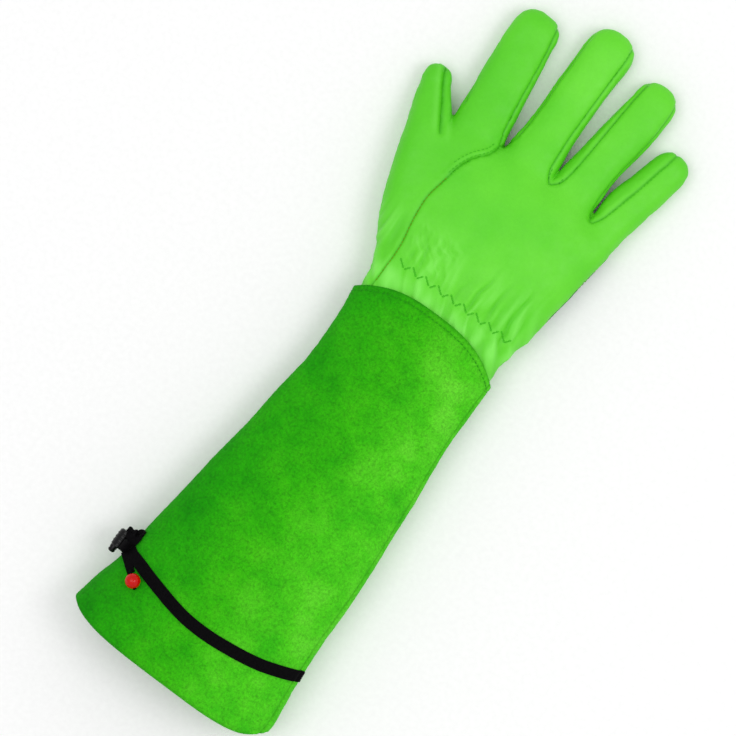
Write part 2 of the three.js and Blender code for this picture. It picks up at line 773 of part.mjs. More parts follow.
function bandTongue(thickness, extraWidth, low) {
  const slot = lockPlace.x + lockDiameter * slotShare;
  const edge = gap + bandThickness / 2;
  const bend = new THREE.SplineCurve([
    ...tongueOnCuff.map((height) => lockLevel + height).map(
      (level) => new THREE.Vector2(cuffEdge(lockPlace.y, level, edge), level)),
    ...tongueUpright.map((height) => new THREE.Vector2(slot, lockLevel + height)),
  ]).getPoints(8);
  const width = bandWidth + extraWidth;
  const strip = ribbon([...bend, new THREE.Vector2(slot, low)], thickness, -width / 2, width / 2);
  // The strip was drawn in plan: stand it up so that its line lies across the cuff
  return strip.rotate([90, 0, 0]).translate([0, lockPlace.y + tongueShift, 0]);
}

// Place across of the cuff's thumb side, or of a surface offset from it, at a level over its middle
function cuffEdge(y, level, offset) {
  const section = cuffSection(y / cuffLength);
  const power = section.roundness.top;
  const share = THREE.MathUtils.clamp((level - section.middle) / (section.up + offset), 0, 1);
  return section.centre - (section.half + offset) * (1 - share ** power) ** (1 / power);
}

// The band ends in the seam on the little-finger side, and a little higher than the lock on the other
const bandSeamLevel = 0.66;
const bandLockHeight = 9;
const tonguePast = 2;

function makeBand() {
  const sheet = cuffForm(gap + bandThickness).subtract(cuffForm(gap));
  const lowEnd = lockLevel + bandLockHeight;
  const seamEnd = mouthHeight * bandSeamLevel;
  const strip = ribbon(bandLine(), bandWidth, seamEnd, mouthHeight * 2).add(
    ribbon(bandLine().filter((point) => point.x < 0), bandWidth, lowEnd, mouthHeight * 2));
  const tongueEnd = lockLevel - lockDiameter / 2 - tonguePast;
  const tongue = bandTongue(bandThickness, 0, tongueEnd).subtract(cuffForm(gap));
  return sheet.intersect(strip).add(tongue);
}

// The lock's barrel, or the room it needs, from shares of its radius and of half its length
const barrelProfile = [[0, -1], [0.78, -1], [0.95, -0.82], [1, 0], [0.95, 0.82], [0.78, 1], [0, 1]];

function lockShape(offset) {
  const radius = lockDiameter / 2 + offset;
  const end = lockLength / 2 + offset;
  const profile = barrelProfile.map(([r, along]) => [radius * r, end * along]);
  return turned(profile, 14, lockCentre, alongCuff);
}

function makeLockBody() {
  const bore = buttonDiameter / 2 + gap;
  const depth = buttonTravel * 2 + gap;
  const hole = turned([[0, -1], [bore, -1], [bore, depth], [0, depth]], 12, buttonMouth(), alongCuff);
  const slot = bandTongue(bandThickness + 2 * gap, 2 * gap, lockLevel - lockDiameter * 2);
  const pieces = lockShape(0).subtract(hole).subtract(slot).subtract(cuffForm(gap)).decompose();
  return pieces.sort((a, b) => b.volume() - a.volume())[0];
}

// The button lies beside the slot, away from the cuff
const buttonShift = -0.16;

function buttonMouth() {
  const across = lockCentre.x + lockDiameter * buttonShift;
  return new THREE.Vector3(across, lockCentre.y - lockLength / 2, lockLevel);
}

// Its rounded end, from shares of its radius and of its reach
const buttonNose = [[0, -1], [0.6, -1], [0.95, -0.75], [1, -0.5]];

function makeLockButton() {
  const radius = buttonDiameter / 2;
  const nose = buttonNose.map(([r, along]) => [radius * r, buttonReach * along]);
  return turned([...nose, [radius, buttonTravel], [0, buttonTravel]], 12, buttonMouth(), alongCuff);
}

// Loose end of the band: a short strip on the cuff, then a cord that runs up through the bead
const cordStart = new THREE.Vector3(tailEnd.x, tailEnd.y, cuffLevel(tailEnd, gap + tailThickness / 2));
const cordWay = beadCentre.clone().sub(cordStart);

function cordThrough(radius, past) {
  const length = cordWay.length() + past;
  const profile = [[0, -tailCordDiameter / 4], [radius, 0], [radius, length], [0, length]];
  return turned(profile, 8, cordStart, cordWay);
}

function makeTail() {
  const sheet = cuffForm(gap + tailThickness).subtract(cuffForm(gap));
  const strip = sheet.intersect(ribbon([tailStart, tailEnd], tailWidth, mouthHeight / 2, mouthHeight * 2));
  const cord = cordThrough(tailCordDiameter / 2, beadDiameter / 2 - gap).subtract(cuffForm(gap));
  const beside = ribbon(bandLine(), bandWidth + 2 * gap, 0, mouthHeight * 2);
  const pieces = strip.add(cord).subtract(beside).subtract(lockShape(gap)).decompose();
  return pieces.sort((a, b) => b.volume() - a.volume())[0];
}

function makeBead() {
  const radius = beadDiameter / 2;
  const profile = [[0, -radius]];
  for (let degrees = -60; degrees <= 60; degrees += 30) {
    const angle = THREE.MathUtils.degToRad(degrees);
    profile.push([radius * Math.cos(angle), radius * Math.sin(angle)]);
  }
  profile.push([0, radius]);
  const ball = turned(profile, 14, beadCentre, cordWay);
  return ball.subtract(cordThrough(beadBore / 2, beadDiameter));
}

// Folded tape from the thumb-side edge of the cuff that carries the lock
function makeAnchor() {
  const line = [
    anchorEnd, cuffPoint([-0.464, 0.2125]), cuffPoint([-0.494, 0.198]),
    cuffPoint([-0.461, 0.190]), cuffPoint([-0.4515, 0.183]),
  ];
  const wedge = prism(line, lockLevel - anchorHeight / 2, lockLevel + anchorHeight / 2);
  const slot = bandTongue(bandThickness + 2 * gap, 2 * gap, 0);
  const pieces = wedge.subtract(cuffForm(gap)).subtract(lockShape(gap)).subtract(slot).decompose();
  return pieces.sort((a, b) => b.volume() - a.volume())[0];
}

const root = new THREE.Group();

function addPiece(name, solid, look) {
  const mesh = new THREE.Mesh(toGeometry(solid), new THREE.MeshStandardMaterial(look));
  mesh.name = name;
  root.add(mesh);
}

addPiece('cuff', makeCuff(), finish.suede);
Object.entries(makePanels()).forEach(([name, solid]) => addPiece(name, solid, finish.leather));
addPiece('palm_patch', makePatch(), finish.patchSuede);
addPiece('strap_band', makeBand(), finish.webbing);
addPiece('strap_anchor', makeAnchor(), finish.webbing);
addPiece('strap_tail', makeTail(), finish.webbing);
addPiece('bead', makeBead(), finish.bead);
addPiece('cord_lock_body', makeLockBody(), finish.plastic);
addPiece('cord_lock_button', makeLockButton(), finish.plastic);

export default root;
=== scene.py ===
# Rose pruning gauntlet, right hand, palm down. Lengths in the tables are millimetres in the CAD frame.
import math

import bpy
import numpy as np
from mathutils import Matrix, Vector
from mathutils.bvhtree import BVHTree
from mathutils.kdtree import KDTree


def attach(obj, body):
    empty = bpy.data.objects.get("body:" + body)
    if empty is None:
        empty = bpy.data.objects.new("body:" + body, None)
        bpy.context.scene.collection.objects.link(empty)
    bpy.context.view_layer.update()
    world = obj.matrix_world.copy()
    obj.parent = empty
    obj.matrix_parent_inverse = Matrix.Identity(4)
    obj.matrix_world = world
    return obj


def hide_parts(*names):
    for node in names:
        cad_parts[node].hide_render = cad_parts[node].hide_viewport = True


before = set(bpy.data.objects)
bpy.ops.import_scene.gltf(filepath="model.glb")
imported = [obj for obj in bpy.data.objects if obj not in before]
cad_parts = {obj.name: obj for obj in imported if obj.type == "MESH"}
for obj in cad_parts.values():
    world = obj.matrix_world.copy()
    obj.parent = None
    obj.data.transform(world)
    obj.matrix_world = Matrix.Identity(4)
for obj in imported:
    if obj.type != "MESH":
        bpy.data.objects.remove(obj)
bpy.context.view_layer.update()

MM = 0.001
TAU = 2 * math.pi

# Driving sizes
CUFF_LENGTH = 240.0
MOUTH_WIDTH = 134.0
CUFF_WALL = 2.0
LEATHER = 1.2
PATCH_THICK = 1.25
PATCH_STITCH = 2.2
LAP_START = 226.0
NET_STEP = 0.86
NET_LOW = np.array([-93.0, LAP_START - 3 * NET_STEP, -2.4])
NET_HIGH = np.array([74.0, 448.0, 37.5])
SEAM_SHARE = 0.48
PRESSED = 1.14
WRIST_STITCH = 263.0
ELASTIC_WIDTH = 3.0
FINGER_BLEND, PALM_BLEND = 1.2, 5.0
WEB_BLEND, WEB_SHARPER = 7.0, 5.4
GROUND = 0.02
SEED = 7

# Sections of the palm: y, left, right, lowest level, height
PALM = np.array([
    [222, -43.5, 47.5, 3.2, 30.0],
    [240, -44.0, 48.0, 2.8, 30.6],
    [250, -45.2, 47.8, 2.2, 30.4],
    [257, -46.9, 48.2, 1.6, 30.2],
    [263, -48.8, 49.8, 1.5, 29.6],
    [270, -51.4, 51.4, 1.5, 30.8],
    [279, -53.6, 52.7, 1.5, 31.8],
    [290, -55.4, 53.9, 1.5, 32.0],
    [306, -56.8, 56.1, 1.5, 31.2],
    [322, -58.0, 56.9, 1.5, 29.4],
    [337, -58.6, 57.2, 1.5, 26.4],
    [352, -58.8, 58.0, 1.6, 23.0],
])
PALM_CAP = (334.0, 17.4)

# Digits: origin, turn in degrees, rows of place along, left, right, lowest level and height, then the tip cap
DIGITS = {
    "index": ((0, 0), 0, [
        [322, -55.0, -30.0, 6.0, 17.0],
        [338, -58.6, -28.6, 3.0, 20.6],
        [350, -60.0, -27.0, 1.3, 21.8],
        [362, -61.0, -28.9, 0.6, 21.0],
        [375, -62.1, -30.9, 0.0, 20.4],
        [390, -63.9, -33.3, 0.0, 19.6],
        [402, -65.2, -35.3, 0.0, 18.8],
        [412, -65.4, -37.0, 0.0, 18.2],
    ], (411.5, 15.4)),
    "middle": ((0, 0), 0, [
        [322, -22.0, 5.0, 6.0, 17.0],
        [340, -24.4, 7.4, 3.0, 21.0],
        [355, -24.9, 7.3, 1.1, 22.2],
        [368, -23.9, 5.8, 0.5, 21.2],
        [380, -23.6, 4.9, 0.0, 20.4],
        [395, -24.1, 4.3, 0.0, 19.6],
        [410, -24.7, 3.9, 0.0, 18.8],
        [428, -25.0, 4.1, 0.0, 18.2],
    ], (427.5, 16.0)),
    "ring": ((0, 0), 0, [
        [322, 8.0, 34.0, 6.0, 17.0],
        [340, 6.4, 36.8, 3.0, 20.8],
        [355, 7.3, 36.8, 1.1, 21.6],
        [368, 8.5, 36.2, 0.5, 20.8],
        [385, 10.5, 38.0, 0.0, 19.8],
        [400, 12.3, 39.6, 0.0, 18.8],
        [412, 14.2, 40.8, 0.0, 18.0],
        [420, 15.5, 41.3, 0.0, 17.6],
    ], (419.5, 15.0)),
    "little": ((49.2, 340.0), -9.0, [
        [-18, -9.0, 9.5, 6.0, 15.0],
        [-2, -11.0, 10.4, 3.0, 19.0],
        [14, -13.4, 10.0, 1.1, 20.2],
        [28, -14.6, 10.1, 0.4, 19.0],
        [42, -13.2, 10.7, 0.0, 17.9],
        [56, -11.5, 10.6, 0.0, 16.6],
    ], (55.0, 13.6)),
    "thumb": ((-48.0, 285.0), 22.0, [
        [-28, -7.0, 12.0, 6.0, 18.0],
        [-14, -11.4, 13.0, 3.2, 22.0],
        [0, -13.9, 14.0, 1.6, 25.0],
        [20, -14.2, 14.8, 1.1, 25.8],
        [40, -13.3, 14.4, 0.6, 25.2],
        [56, -12.6, 13.2, 0.2, 23.6],
        [64, -12.1, 11.8, 0.0, 21.8],
        [71, -11.4, 9.6, 0.0, 19.8],
        [79, -10.5, 7.2, 0.0, 17.4],
    ], (78.0, 12.0)),
}
ROUND = 2.4

# Seam lines seen from above
BACK_SEAM = [(-27.2, 351.5), (-30, 343), (-36, 335), (-40, 326), (-42, 315), (-44, 300), (-43.5, 293),
             (-42, 283), (-39.5, 270), (-39, 255), (-39, 240), (-39, 212)]
THUMB_SEAM = [(-80.5, 371), (-79, 367), (-70, 352), (-60, 336), (-57.5, 332)]
HEEL_SEAM = [(-64, 258), (-54.5, 252.5), (-48, 249.5), (-40, 249), (-31, 252), (-22, 259), (-16.5, 268),
             (-15.6, 282), (-22, 299), (-34, 313), (-47, 325), (-60, 337)]
GAPS_TOP = [
    ([(-28.6, 350.2), (-30.9, 359), (-33.1, 371), (-35.3, 386), (-37.2, 400), (-39.2, 412), (-41, 420),
      (-43, 431)],
     [(-26.4, 351), (-24.1, 358), (-23.0, 367), (-22.8, 380), (-23.4, 395), (-24.0, 410), (-24.3, 428),
      (-22.5, 448)]),
    ([(7, 350), (3.4, 356), (2.2, 364), (1.5, 375), (1, 390), (0.8, 405), (0.5, 420), (0.5, 432), (-2, 448)],
     [(8, 350), (11.6, 354), (13.5, 362), (14.5, 375), (15.2, 390), (16, 405), (16.8, 418), (18, 428),
      (20, 440)]),
    ([(38.6, 346.5), (36.2, 354), (35.4, 366), (36.0, 376), (37.4, 388), (38.8, 402), (39.6, 414),
      (39.4, 424), (36.5, 440)],
     [(40, 346.5), (43, 352), (46, 362), (48.5, 372), (51, 383), (53, 393), (55, 402), (57, 414)]),
]
GAPS_BOTTOM = [
    ([(-28.2, 350), (-32.5, 358), (-34.5, 370), (-36.8, 387), (-38.6, 400), (-40.4, 412), (-42, 420),
      (-44, 431)],
     [(-26.6, 350), (-21.6, 358), (-20.0, 368), (-20.0, 380), (-20.7, 395), (-21.3, 410), (-21.8, 428),
      (-20.5, 448)]),
    ([(6.8, 350), (3.2, 358), (2.0, 368), (1.2, 382), (0.8, 396), (0.4, 410), (0.2, 424), (-1, 434),
      (-3, 448)],
     [(8.2, 350), (11.8, 358), (13.0, 370), (14.4, 385), (16.0, 400), (17.6, 412), (19.0, 422), (20, 430),
      (22, 440)]),
    ([(38.2, 348), (33.6, 358), (33.0, 368), (34.4, 382), (36.0, 396), (37.0, 410), (37.0, 420), (35.0, 430),
      (33, 440)],
     [(40, 348), (43.6, 358), (45.6, 368), (48.0, 380), (50.6, 391), (52.6, 399), (55, 405), (57, 414)]),
]
PATCH = [(-43.1, 335.4), (-23.6, 338.7), (11.8, 337.8), (35.4, 336.2), (66.1, 331), (66.1, 305),
         (66.1, 276.5), (51.9, 277), (46.6, 285), (36.6, 292), (17.7, 294.4), (0, 295.2), (-13, 300.9),
         (-27.1, 311.5), (-40.1, 321.2), (-43.1, 335.4)]

# Lattice noise between -1 and 1, the same every run
rng = np.random.default_rng(SEED)
LATTICE = rng.random((24, 24, 24)) * 2 - 1


def noise(points, scale, shift=0.0):
    q = points / np.asarray(scale, float) + shift
    cell = np.floor(q).astype(int)
    part = q - cell
    part = part * part * (3 - 2 * part)
    total = 0
    for corner in range(8):
        step = np.array([corner & 1, corner >> 1 & 1, corner >> 2 & 1])
        weight = np.prod(np.where(step == 1, part, 1 - part), axis=1)
        at = (cell + step) % 24
        total = total + weight * LATTICE[at[:, 0], at[:, 1], at[:, 2]]
    return total * 1.6


def ease(low, high, value):
    t = np.clip((value - low) / (high - low), 0, 1)
    return t * t * (3 - 2 * t)


def rows_at(rows, at):
    """Columns of a table at places along its first column, on smooth curves."""
    knots = rows[:, 0]
    values = rows[:, 1:]
    slopes = np.gradient(values, knots, axis=0)
    at = np.clip(at, knots[0], knots[-1])
    k = np.clip(np.searchsorted(knots, at, side="right") - 1, 0, len(knots) - 2)
    span = knots[k + 1] - knots[k]
    t = (at - knots[k]) / span
    t, span = t[:, None], span[:, None]
    return (values[k] * (2 * t**3 - 3 * t**2 + 1) + slopes[k] * span * (t**3 - 2 * t**2 + t)
            + values[k + 1] * (3 * t**2 - 2 * t**3) + slopes[k + 1] * span * (t**3 - t**2))


def lengths(line):
    """Distance along a line to each of its points."""
    return np.concatenate([[0], np.cumsum(np.linalg.norm(np.diff(line, axis=0), axis=1))])


def curve_through(points, step=1.5, whole=int):
    """A smooth curve through points, at about even steps."""
    points = np.asarray(points, float)
    along = lengths(points)
    count = max(int(whole(along[-1] / step)), 2) + 1
    return rows_at(np.column_stack([along, points]), np.linspace(0, along[-1], count))


def smooth_min(a, b, k):
    h = np.clip(0.5 + 0.5 * (b - a) / k, 0, 1)
    return b * (1 - h) + a * h - k * h * (1 - h)


def form(x, y, z, rows, cap):
    """Signed distance, nearly, to a pressed tube whose sections the rows give, with a round end."""
    left, right, floor, height = rows_at(rows, y).T
    half = (right - left) / 2
    middle = floor + height * SEAM_SHARE
    rise = z - middle
    reach = np.where(rise >= 0, height * (1 - SEAM_SHARE), height * SEAM_SHARE * PRESSED)
    u = np.abs(x - (left + right) / 2) / half
    v = np.maximum(y - cap[0], 0) / cap[1]
    w = np.abs(rise) / reach
    q = np.maximum((u**ROUND + w**ROUND + v**ROUND) ** (1 / ROUND), 1e-3)
    n = ROUND - 1
    slope = q**-n * np.sqrt((u**n / half)**2 + (w**n / reach)**2 + (v**n / cap[1])**2)
    distance = (q - 1) / np.maximum(slope, 0.2 / reach)
    return -smooth_min(-distance, z - floor, 3.0), middle


def digit_form(name, x, y, z):
    """Distance to one digit, cut off at its first section, and the level of its side seam."""
    (ox, oy), turn, rows, cap = DIGITS[name]
    cosine, sine = math.cos(math.radians(turn)), math.sin(math.radians(turn))
    u, v = (x - ox) * cosine + (y - oy) * sine, -(x - ox) * sine + (y - oy) * cosine
    distance, middle = form(u, v, z, np.array(rows, float), cap)
    return np.maximum(distance, rows[0][0] - v), middle


def hand_field(points):
    """Distance to the hand's outer skin, and the level of its side seam."""
    x, y, z = points.T
    palm, palm_middle = form(x, y, z, PALM, PALM_CAP)
    digits, middles = zip(*[digit_form(name, x, y, z) for name in DIGITS])
    fingers = digits[0]
    for other in digits[1:4]:
        fingers = smooth_min(fingers, other, FINGER_BLEND)
    # The fork between thumb and index finger is sharper than the thumb's root
    web = WEB_BLEND - WEB_SHARPER * ease(334, 348, y)
    whole = smooth_min(smooth_min(palm, fingers, PALM_BLEND), digits[4], web)
    near = np.stack([palm, *digits])
    weight = np.exp(-np.clip(near - near.min(axis=0), 0, 40) / 2.5)
    level = (weight * np.stack([palm_middle, *middles])).sum(axis=0) / weight.sum(axis=0)
    return np.maximum(whole, LAP_START - y), level


def skin_distance(points):
    return hand_field(points)[0]


def seam_level(points):
    return hand_field(points)[1]


def surface_net(values, low, step):
    """Quads on the zero surface of a grid of values."""
    inside = values < 0
    shape = np.array(values.shape) - 1
    count = np.zeros(shape, np.int8)
    for c in range(8):
        i, j, k = c & 1, c >> 1 & 1, c >> 2 & 1
        count += inside[i:i + shape[0], j:j + shape[1], k:k + shape[2]]
    active = (count > 0) & (count < 8)
    index = np.full(shape, -1)
    index[active] = np.arange(active.sum())
    cells = np.argwhere(active)
    total = np.zeros((len(cells), 3))
    hits = np.zeros(len(cells))
    for axis in range(3):
        for c in range(4):
            offset = np.zeros(3, int)
            others = [a for a in range(3) if a != axis]
            offset[others[0]], offset[others[1]] = c & 1, c >> 1
            a = cells + offset
            b = a.copy()
            b[:, axis] += 1
            fa, fb = values[tuple(a.T)], values[tuple(b.T)]
            cross = (fa < 0) != (fb < 0)
            t = np.where(cross, fa / np.where(cross, fa - fb, 1), 0)
            total[cross] += (a + (b - a) * t[:, None])[cross]
            hits += cross
    points = low + total / hits[:, None] * step
    faces = []
    for axis in range(3):
        u, v = [(1, 2), (2, 0), (0, 1)][axis]
        a = inside[tuple(slice(0, -1) if d == axis else slice(1, -1) for d in range(3))]
        b = inside[tuple(slice(1, None) if d == axis else slice(1, -1) for d in range(3))]
        for flip, hit in ((False, a & ~b), (True, ~a & b)):
            at = np.argwhere(hit)
            at[:, [u, v]] += 1
            corners = []
            for du, dv in ((-1, -1), (0, -1), (0, 0), (-1, 0)):
                cell = at.copy()
                cell[:, u] += du
                cell[:, v] += dv
                corners.append(index[tuple(cell.T)])
            quad = np.stack(corners, axis=1)
            faces.append(quad[:, ::-1] if flip else quad)
    faces = np.concatenate(faces)
    return points, faces[(faces >= 0).all(axis=1)]


def slope_of(function, points, reach=0.08):
    result = np.empty_like(points)
    for axis in range(3):
        step = np.zeros(3)
        step[axis] = reach
        result[:, axis] = (function(points + step) - function(points - step)) / (2 * reach)
    return result


def unit(vectors):
    return vectors / np.maximum(np.linalg.norm(vectors, axis=-1, keepdims=True), 1e-9)


def sides(faces):
    return np.concatenate([faces[:, [k, (k + 1) % faces.shape[1]]] for k in range(faces.shape[1])])


def edges_of(faces):
    return np.sort(sides(faces), axis=1)


def relax(points, edges, count):
    total = np.zeros_like(points)
    degree = np.bincount(edges.ravel(), minlength=len(points)).astype(float)[:, None]
    for _ in range(count):
        for axis in range(3):
            total[:, axis] = (np.bincount(edges[:, 0], points[edges[:, 1], axis], len(points))
                              + np.bincount(edges[:, 1], points[edges[:, 0], axis], len(points)))
        points = points + 0.5 * (total / np.maximum(degree, 1) - points)
    return points


def onto_skin(points):
    """Points moved along the hand field's slope onto its skin."""
    slope = slope_of(skin_distance, points)
    size = np.maximum((slope**2).sum(axis=1), 0.2)
    return points - np.clip(skin_distance(points) / size, -0.8, 0.8)[:, None] * slope


def snap(points, normals, function):
    """Vertices near a function's zero line move onto it, along the surface."""
    value = function(points)
    near = np.flatnonzero(np.abs(value) < NET_STEP)
    slope = slope_of(function, points[near], 0.15)
    slope -= (slope * normals[near]).sum(axis=1, keepdims=True) * normals[near]
    move = -value[near, None] * slope / np.maximum((slope**2).sum(axis=1), 1e-6)[:, None]
    short = np.linalg.norm(move, axis=1) < 0.5 * NET_STEP
    points[near[short]] += move[short]


def used_by(faces, count):
    """The vertices that faces use, and the number of each among them."""
    used = np.unique(faces)
    number = np.full(count, -1)
    number[used] = np.arange(len(used))
    return used, number


def polygon_side(points, polygon):
    """Distance in plan to a closed line, negative inside it."""
    p = points[:, :2]
    best = np.full(len(p), 1e9)
    inside = np.zeros(len(p), bool)
    for a, b in zip(polygon, np.roll(polygon, -1, axis=0)):
        edge = b - a
        length = edge @ edge
        if length < 1e-12:
            continue
        t = np.clip(((p - a) @ edge) / length, 0, 1)
        best = np.minimum(best, np.linalg.norm(p - a - t[:, None] * edge, axis=1))
        if a[1] != b[1]:
            crosses = (a[1] > p[:, 1]) != (b[1] > p[:, 1])
            inside ^= crosses & (p[:, 0] < edge[0] * (p[:, 1] - a[1]) / edge[1] + a[0])
    return np.where(inside, -best, best)


def bump_at(value, width):
    """One where a value is zero, fading over a width."""
    return np.exp(-(value / width)**2)


def gap_polygon(pair):
    return np.concatenate([curve_through(pair[0]), curve_through(pair[1])[::-1]])


INDEX_SIDE = np.concatenate([curve_through(BACK_SEAM)[::-1],
                             [(-27, 353), (-29, 375), (-31, 400), (-32, 450), (-120, 450), (-120, 212)]])
THUMB_TOP = np.concatenate([curve_through(THUMB_SEAM), [(-57, 340), (-58.4, 352), (-62, 372)]])
THUMB_BOTTOM = np.concatenate([curve_through(HEEL_SEAM),
                               [(-58.6, 352), (-62, 380), (-120, 380), (-120, 258)]])
TOPS = [gap_polygon(pair) for pair in GAPS_TOP]
BOTTOMS = [gap_polygon(pair) for pair in GAPS_BOTTOM]

PANELS = ["back_panel", "index_thumb_panel", "palm_panel", "thumb_palm", "fourchette_index_middle",
          "fourchette_middle_ring", "fourchette_ring_little"]


def side_of(points, top, bottom):
    """Distance to one outline above the side seam and to another below it."""
    above = points[:, 2] > seam_level(points)
    result = np.full(len(points), 50.0)
    for shape, use in ((top, above), (bottom, ~above)):
        if shape is not None and use.any():
            result[use] = polygon_side(points[use], shape)
    return result


SHAPES = [(INDEX_SIDE, None), (THUMB_TOP, THUMB_BOTTOM), *zip(TOPS, BOTTOMS)]
SHAPE_PANELS = [1, 3, 4, 5, 6]


def panel_of(points):
    """The number of the panel that each point of the skin belongs to."""
    result = np.where(points[:, 2] > seam_level(points), 0, 2)
    for (top, bottom), panel in zip(SHAPES, SHAPE_PANELS):
        result[side_of(points, top, bottom) < 0] = panel
    return result


def face_links(faces):
    """Pairs of faces that share an edge, and that edge's two vertices."""
    n = len(faces)
    pairs = edges_of(faces)
    owner = np.tile(np.arange(n), faces.shape[1])
    key = pairs[:, 0] * (pairs.max() + 1) + pairs[:, 1]
    order = np.argsort(key, kind="stable")
    key, owner, pairs = key[order], owner[order], pairs[order]
    same = np.flatnonzero(key[:-1] == key[1:])
    return owner[same], owner[same + 1], pairs[same]


def tidy_classes(classes, faces, links):
    """Small islands of a class take the class round them."""
    a, b, _ = links
    label = np.arange(len(faces))
    same = classes[a] == classes[b]
    sa, sb = a[same], b[same]
    for _ in range(4000):
        low = np.minimum(label[sa], label[sb])
        before = label.copy()
        np.minimum.at(label, sa, low)
        np.minimum.at(label, sb, low)
        label = label[label]
        if (label == before).all():
            break
    biggest = np.zeros(len(PANELS), int)
    for k in range(len(PANELS)):
        mine = label[classes == k]
        if len(mine):
            biggest[k] = np.bincount(mine).argmax()
    stray = label != biggest[classes]
    for _ in range(60):
        if not stray.any():
            break
        for p, q in ((a, b), (b, a)):
            take = stray[p] & ~stray[q]
            classes[p[take]] = classes[q[take]]
            stray[p[take]] = False
    return classes


def nearest(points, targets, normals=None, target_normals=None):
    """Distance from each point to the nearest target whose surface faces about the same way."""
    tree = KDTree(len(targets))
    for i, p in enumerate(targets):
        tree.insert(p, i)
    tree.balance()
    result = np.empty(len(points))
    for i, p in enumerate(points):
        _, j, d = tree.find(p)
        if normals is not None and d < 6 and normals[i] @ target_normals[j] < 0.1:
            d = 6
        result[i] = d
    return result


def build_hand():
    """The hand's skin as quads, with a panel for each, and the edges of its seams."""
    shape = np.ceil((NET_HIGH - NET_LOW) / NET_STEP).astype(int)
    axes = [NET_LOW[k] + np.arange(shape[k]) * NET_STEP for k in range(3)]
    values = np.empty(shape)
    for i, x in enumerate(axes[0]):
        y, z = np.meshgrid(axes[1], axes[2], indexing="ij")
        slab = np.column_stack([np.full(y.size, x), y.ravel(), z.ravel()])
        values[i] = skin_distance(slab).reshape(y.shape)
    points, faces = surface_net(values, NET_LOW, NET_STEP)
    edges = np.unique(edges_of(faces), axis=0)
    for _ in range(3):
        points = onto_skin(relax(points, edges, 2))
    # The wrist end is open
    faces = faces[points[faces].mean(axis=1)[:, 1] > LAP_START + 0.9]
    used, number = used_by(faces, len(points))
    points, faces = points[used], number[faces]
    normals = unit(slope_of(skin_distance, points))
    # Seam lines run through vertices
    snap(points, normals, lambda p: p[:, 2] - seam_level(p))
    for top, bottom in SHAPES:
        snap(points, normals, lambda p: side_of(p, top, bottom))
    links = face_links(faces)
    classes = tidy_classes(panel_of(points[faces].mean(axis=1)), faces, links)
    a, b, pair = links
    border = classes[a] != classes[b]
    seams = pair[border]
    kinds = np.sort(np.stack([classes[a][border], classes[b][border]], axis=1), axis=1)
    used = np.unique(seams)
    inner = np.bincount(seams.ravel(), minlength=len(points)) == 2
    # Each seam line is eased along itself, then put back on the skin
    for _ in range(4):
        points[inner] = relax(points, seams, 1)[inner]
        points[used] = onto_skin(points[used])
    return points, faces, unit(slope_of(skin_distance, points)), classes, seams, kinds


# Deeper folds above the elastic on the back: x at y 270, lean, depth, end
FOLDS = [(12.5, 0.10, 0.5, 300), (18.0, 0.02, 0.28, 288), (24.2, 0.05, 0.45, 297), (30.5, 0.0, 0.4, 292),
         (37.6, -0.03, 0.6, 301), (43.5, -0.02, 0.35, 288), (4.0, 0.08, 0.25, 284), (-14, -0.12, 0.22, 288),
         (-24, -0.2, 0.25, 290)]


def elastic_channel(y):
    return bump_at(y - WRIST_STITCH, ELASTIC_WIDTH)


def wrist_relief(points, normals):
    """Gathers that the elastic pulls into the leather round the wrist."""
    x, y, _ = points.T
    back = normals[:, 2] > 0
    warp = 3.4 * noise(points, (24, 26, 60), 3.1)
    lean = np.where(y < WRIST_STITCH, 0.45, 0.08)
    around = np.where(back, x, -x) + warp + lean * (y - WRIST_STITCH)
    p = np.column_stack([around, y, np.where(back, 0.0, 50.0)])
    fade = 1 - ease(264, 302 + 9 * noise(points, (20, 60, 60), 9.7), y)
    sharp = 1 - 2 * np.abs(noise(p, (6.2, 34, 9), 2.9))
    gathers = (0.42 * noise(p, (4.4, 24, 9), 0.4) + 0.2 * noise(p, (1.9, 13, 9), 5.2)
               + 0.34 * np.clip(sharp, -1, 1))
    channel = elastic_channel(y)
    side = np.where(back, 1.0, 0.7)
    relief = fade * side * gathers * (1.35 - 0.45 * channel) - 0.42 * channel * side
    folds = 0
    for place, lean, depth, end in FOLDS:
        line = x - place - lean * (y - 270) - 0.9 * noise(points, (40, 9, 40), place)
        span = ease(255, 268, y) * (1 - ease(end - 18, end, y))
        folds = folds + 1.25 * depth * span * (0.4 * bump_at(np.abs(line) - 2.3, 1.5) - bump_at(line, 1.0))
    # Fine slanting creases beside the back seam
    slant = (x + 0.9 * y) / 3.1
    box = ease(-40, -33, x) * (1 - ease(-12, -4, x)) * ease(264, 270, y) * (1 - ease(286, 294, y))
    waves = (np.sin(slant * 2 + 2.4 * noise(points, 9.0, 1.3))
             + 0.7 * np.sin(slant * 3.7 + 3 * noise(points, 6.0, 5.3)))
    return relief + np.where(back, folds, 0) + np.where(back, 0.26 * box * waves, 0)


def heel_arcs(points, normals):
    """Soft wrinkles that follow the seam of the thumb's heel on the palm side."""
    result = np.zeros(len(points))
    near = (normals[:, 2] < -0.2) & (points[:, 0] < 5) & (points[:, 1] < 320)
    d = polygon_side(points[near], THUMB_BOTTOM)
    wave = np.sin(d / 2.6 * TAU + 1.4 * noise(points[near], 14.0, 2.2))
    result[near] = 0.28 * wave * bump_at(d + 6, 6.5)
    return result


def back_seam_strip(points, top):
    """Raised strip for two rows of stitches along the upper part of the back seam."""
    result = np.zeros(len(points))
    near = top & (np.abs(points[:, 0] + 36) < 18) & (points[:, 1] > 306) & (points[:, 1] < 356)
    side = -polygon_side(points[near], INDEX_SIDE)
    result[near] = 0.5 * ease(318, 332, points[near, 1]) * np.exp(-(((side - 2.0) / 1.7)**4))
    return result


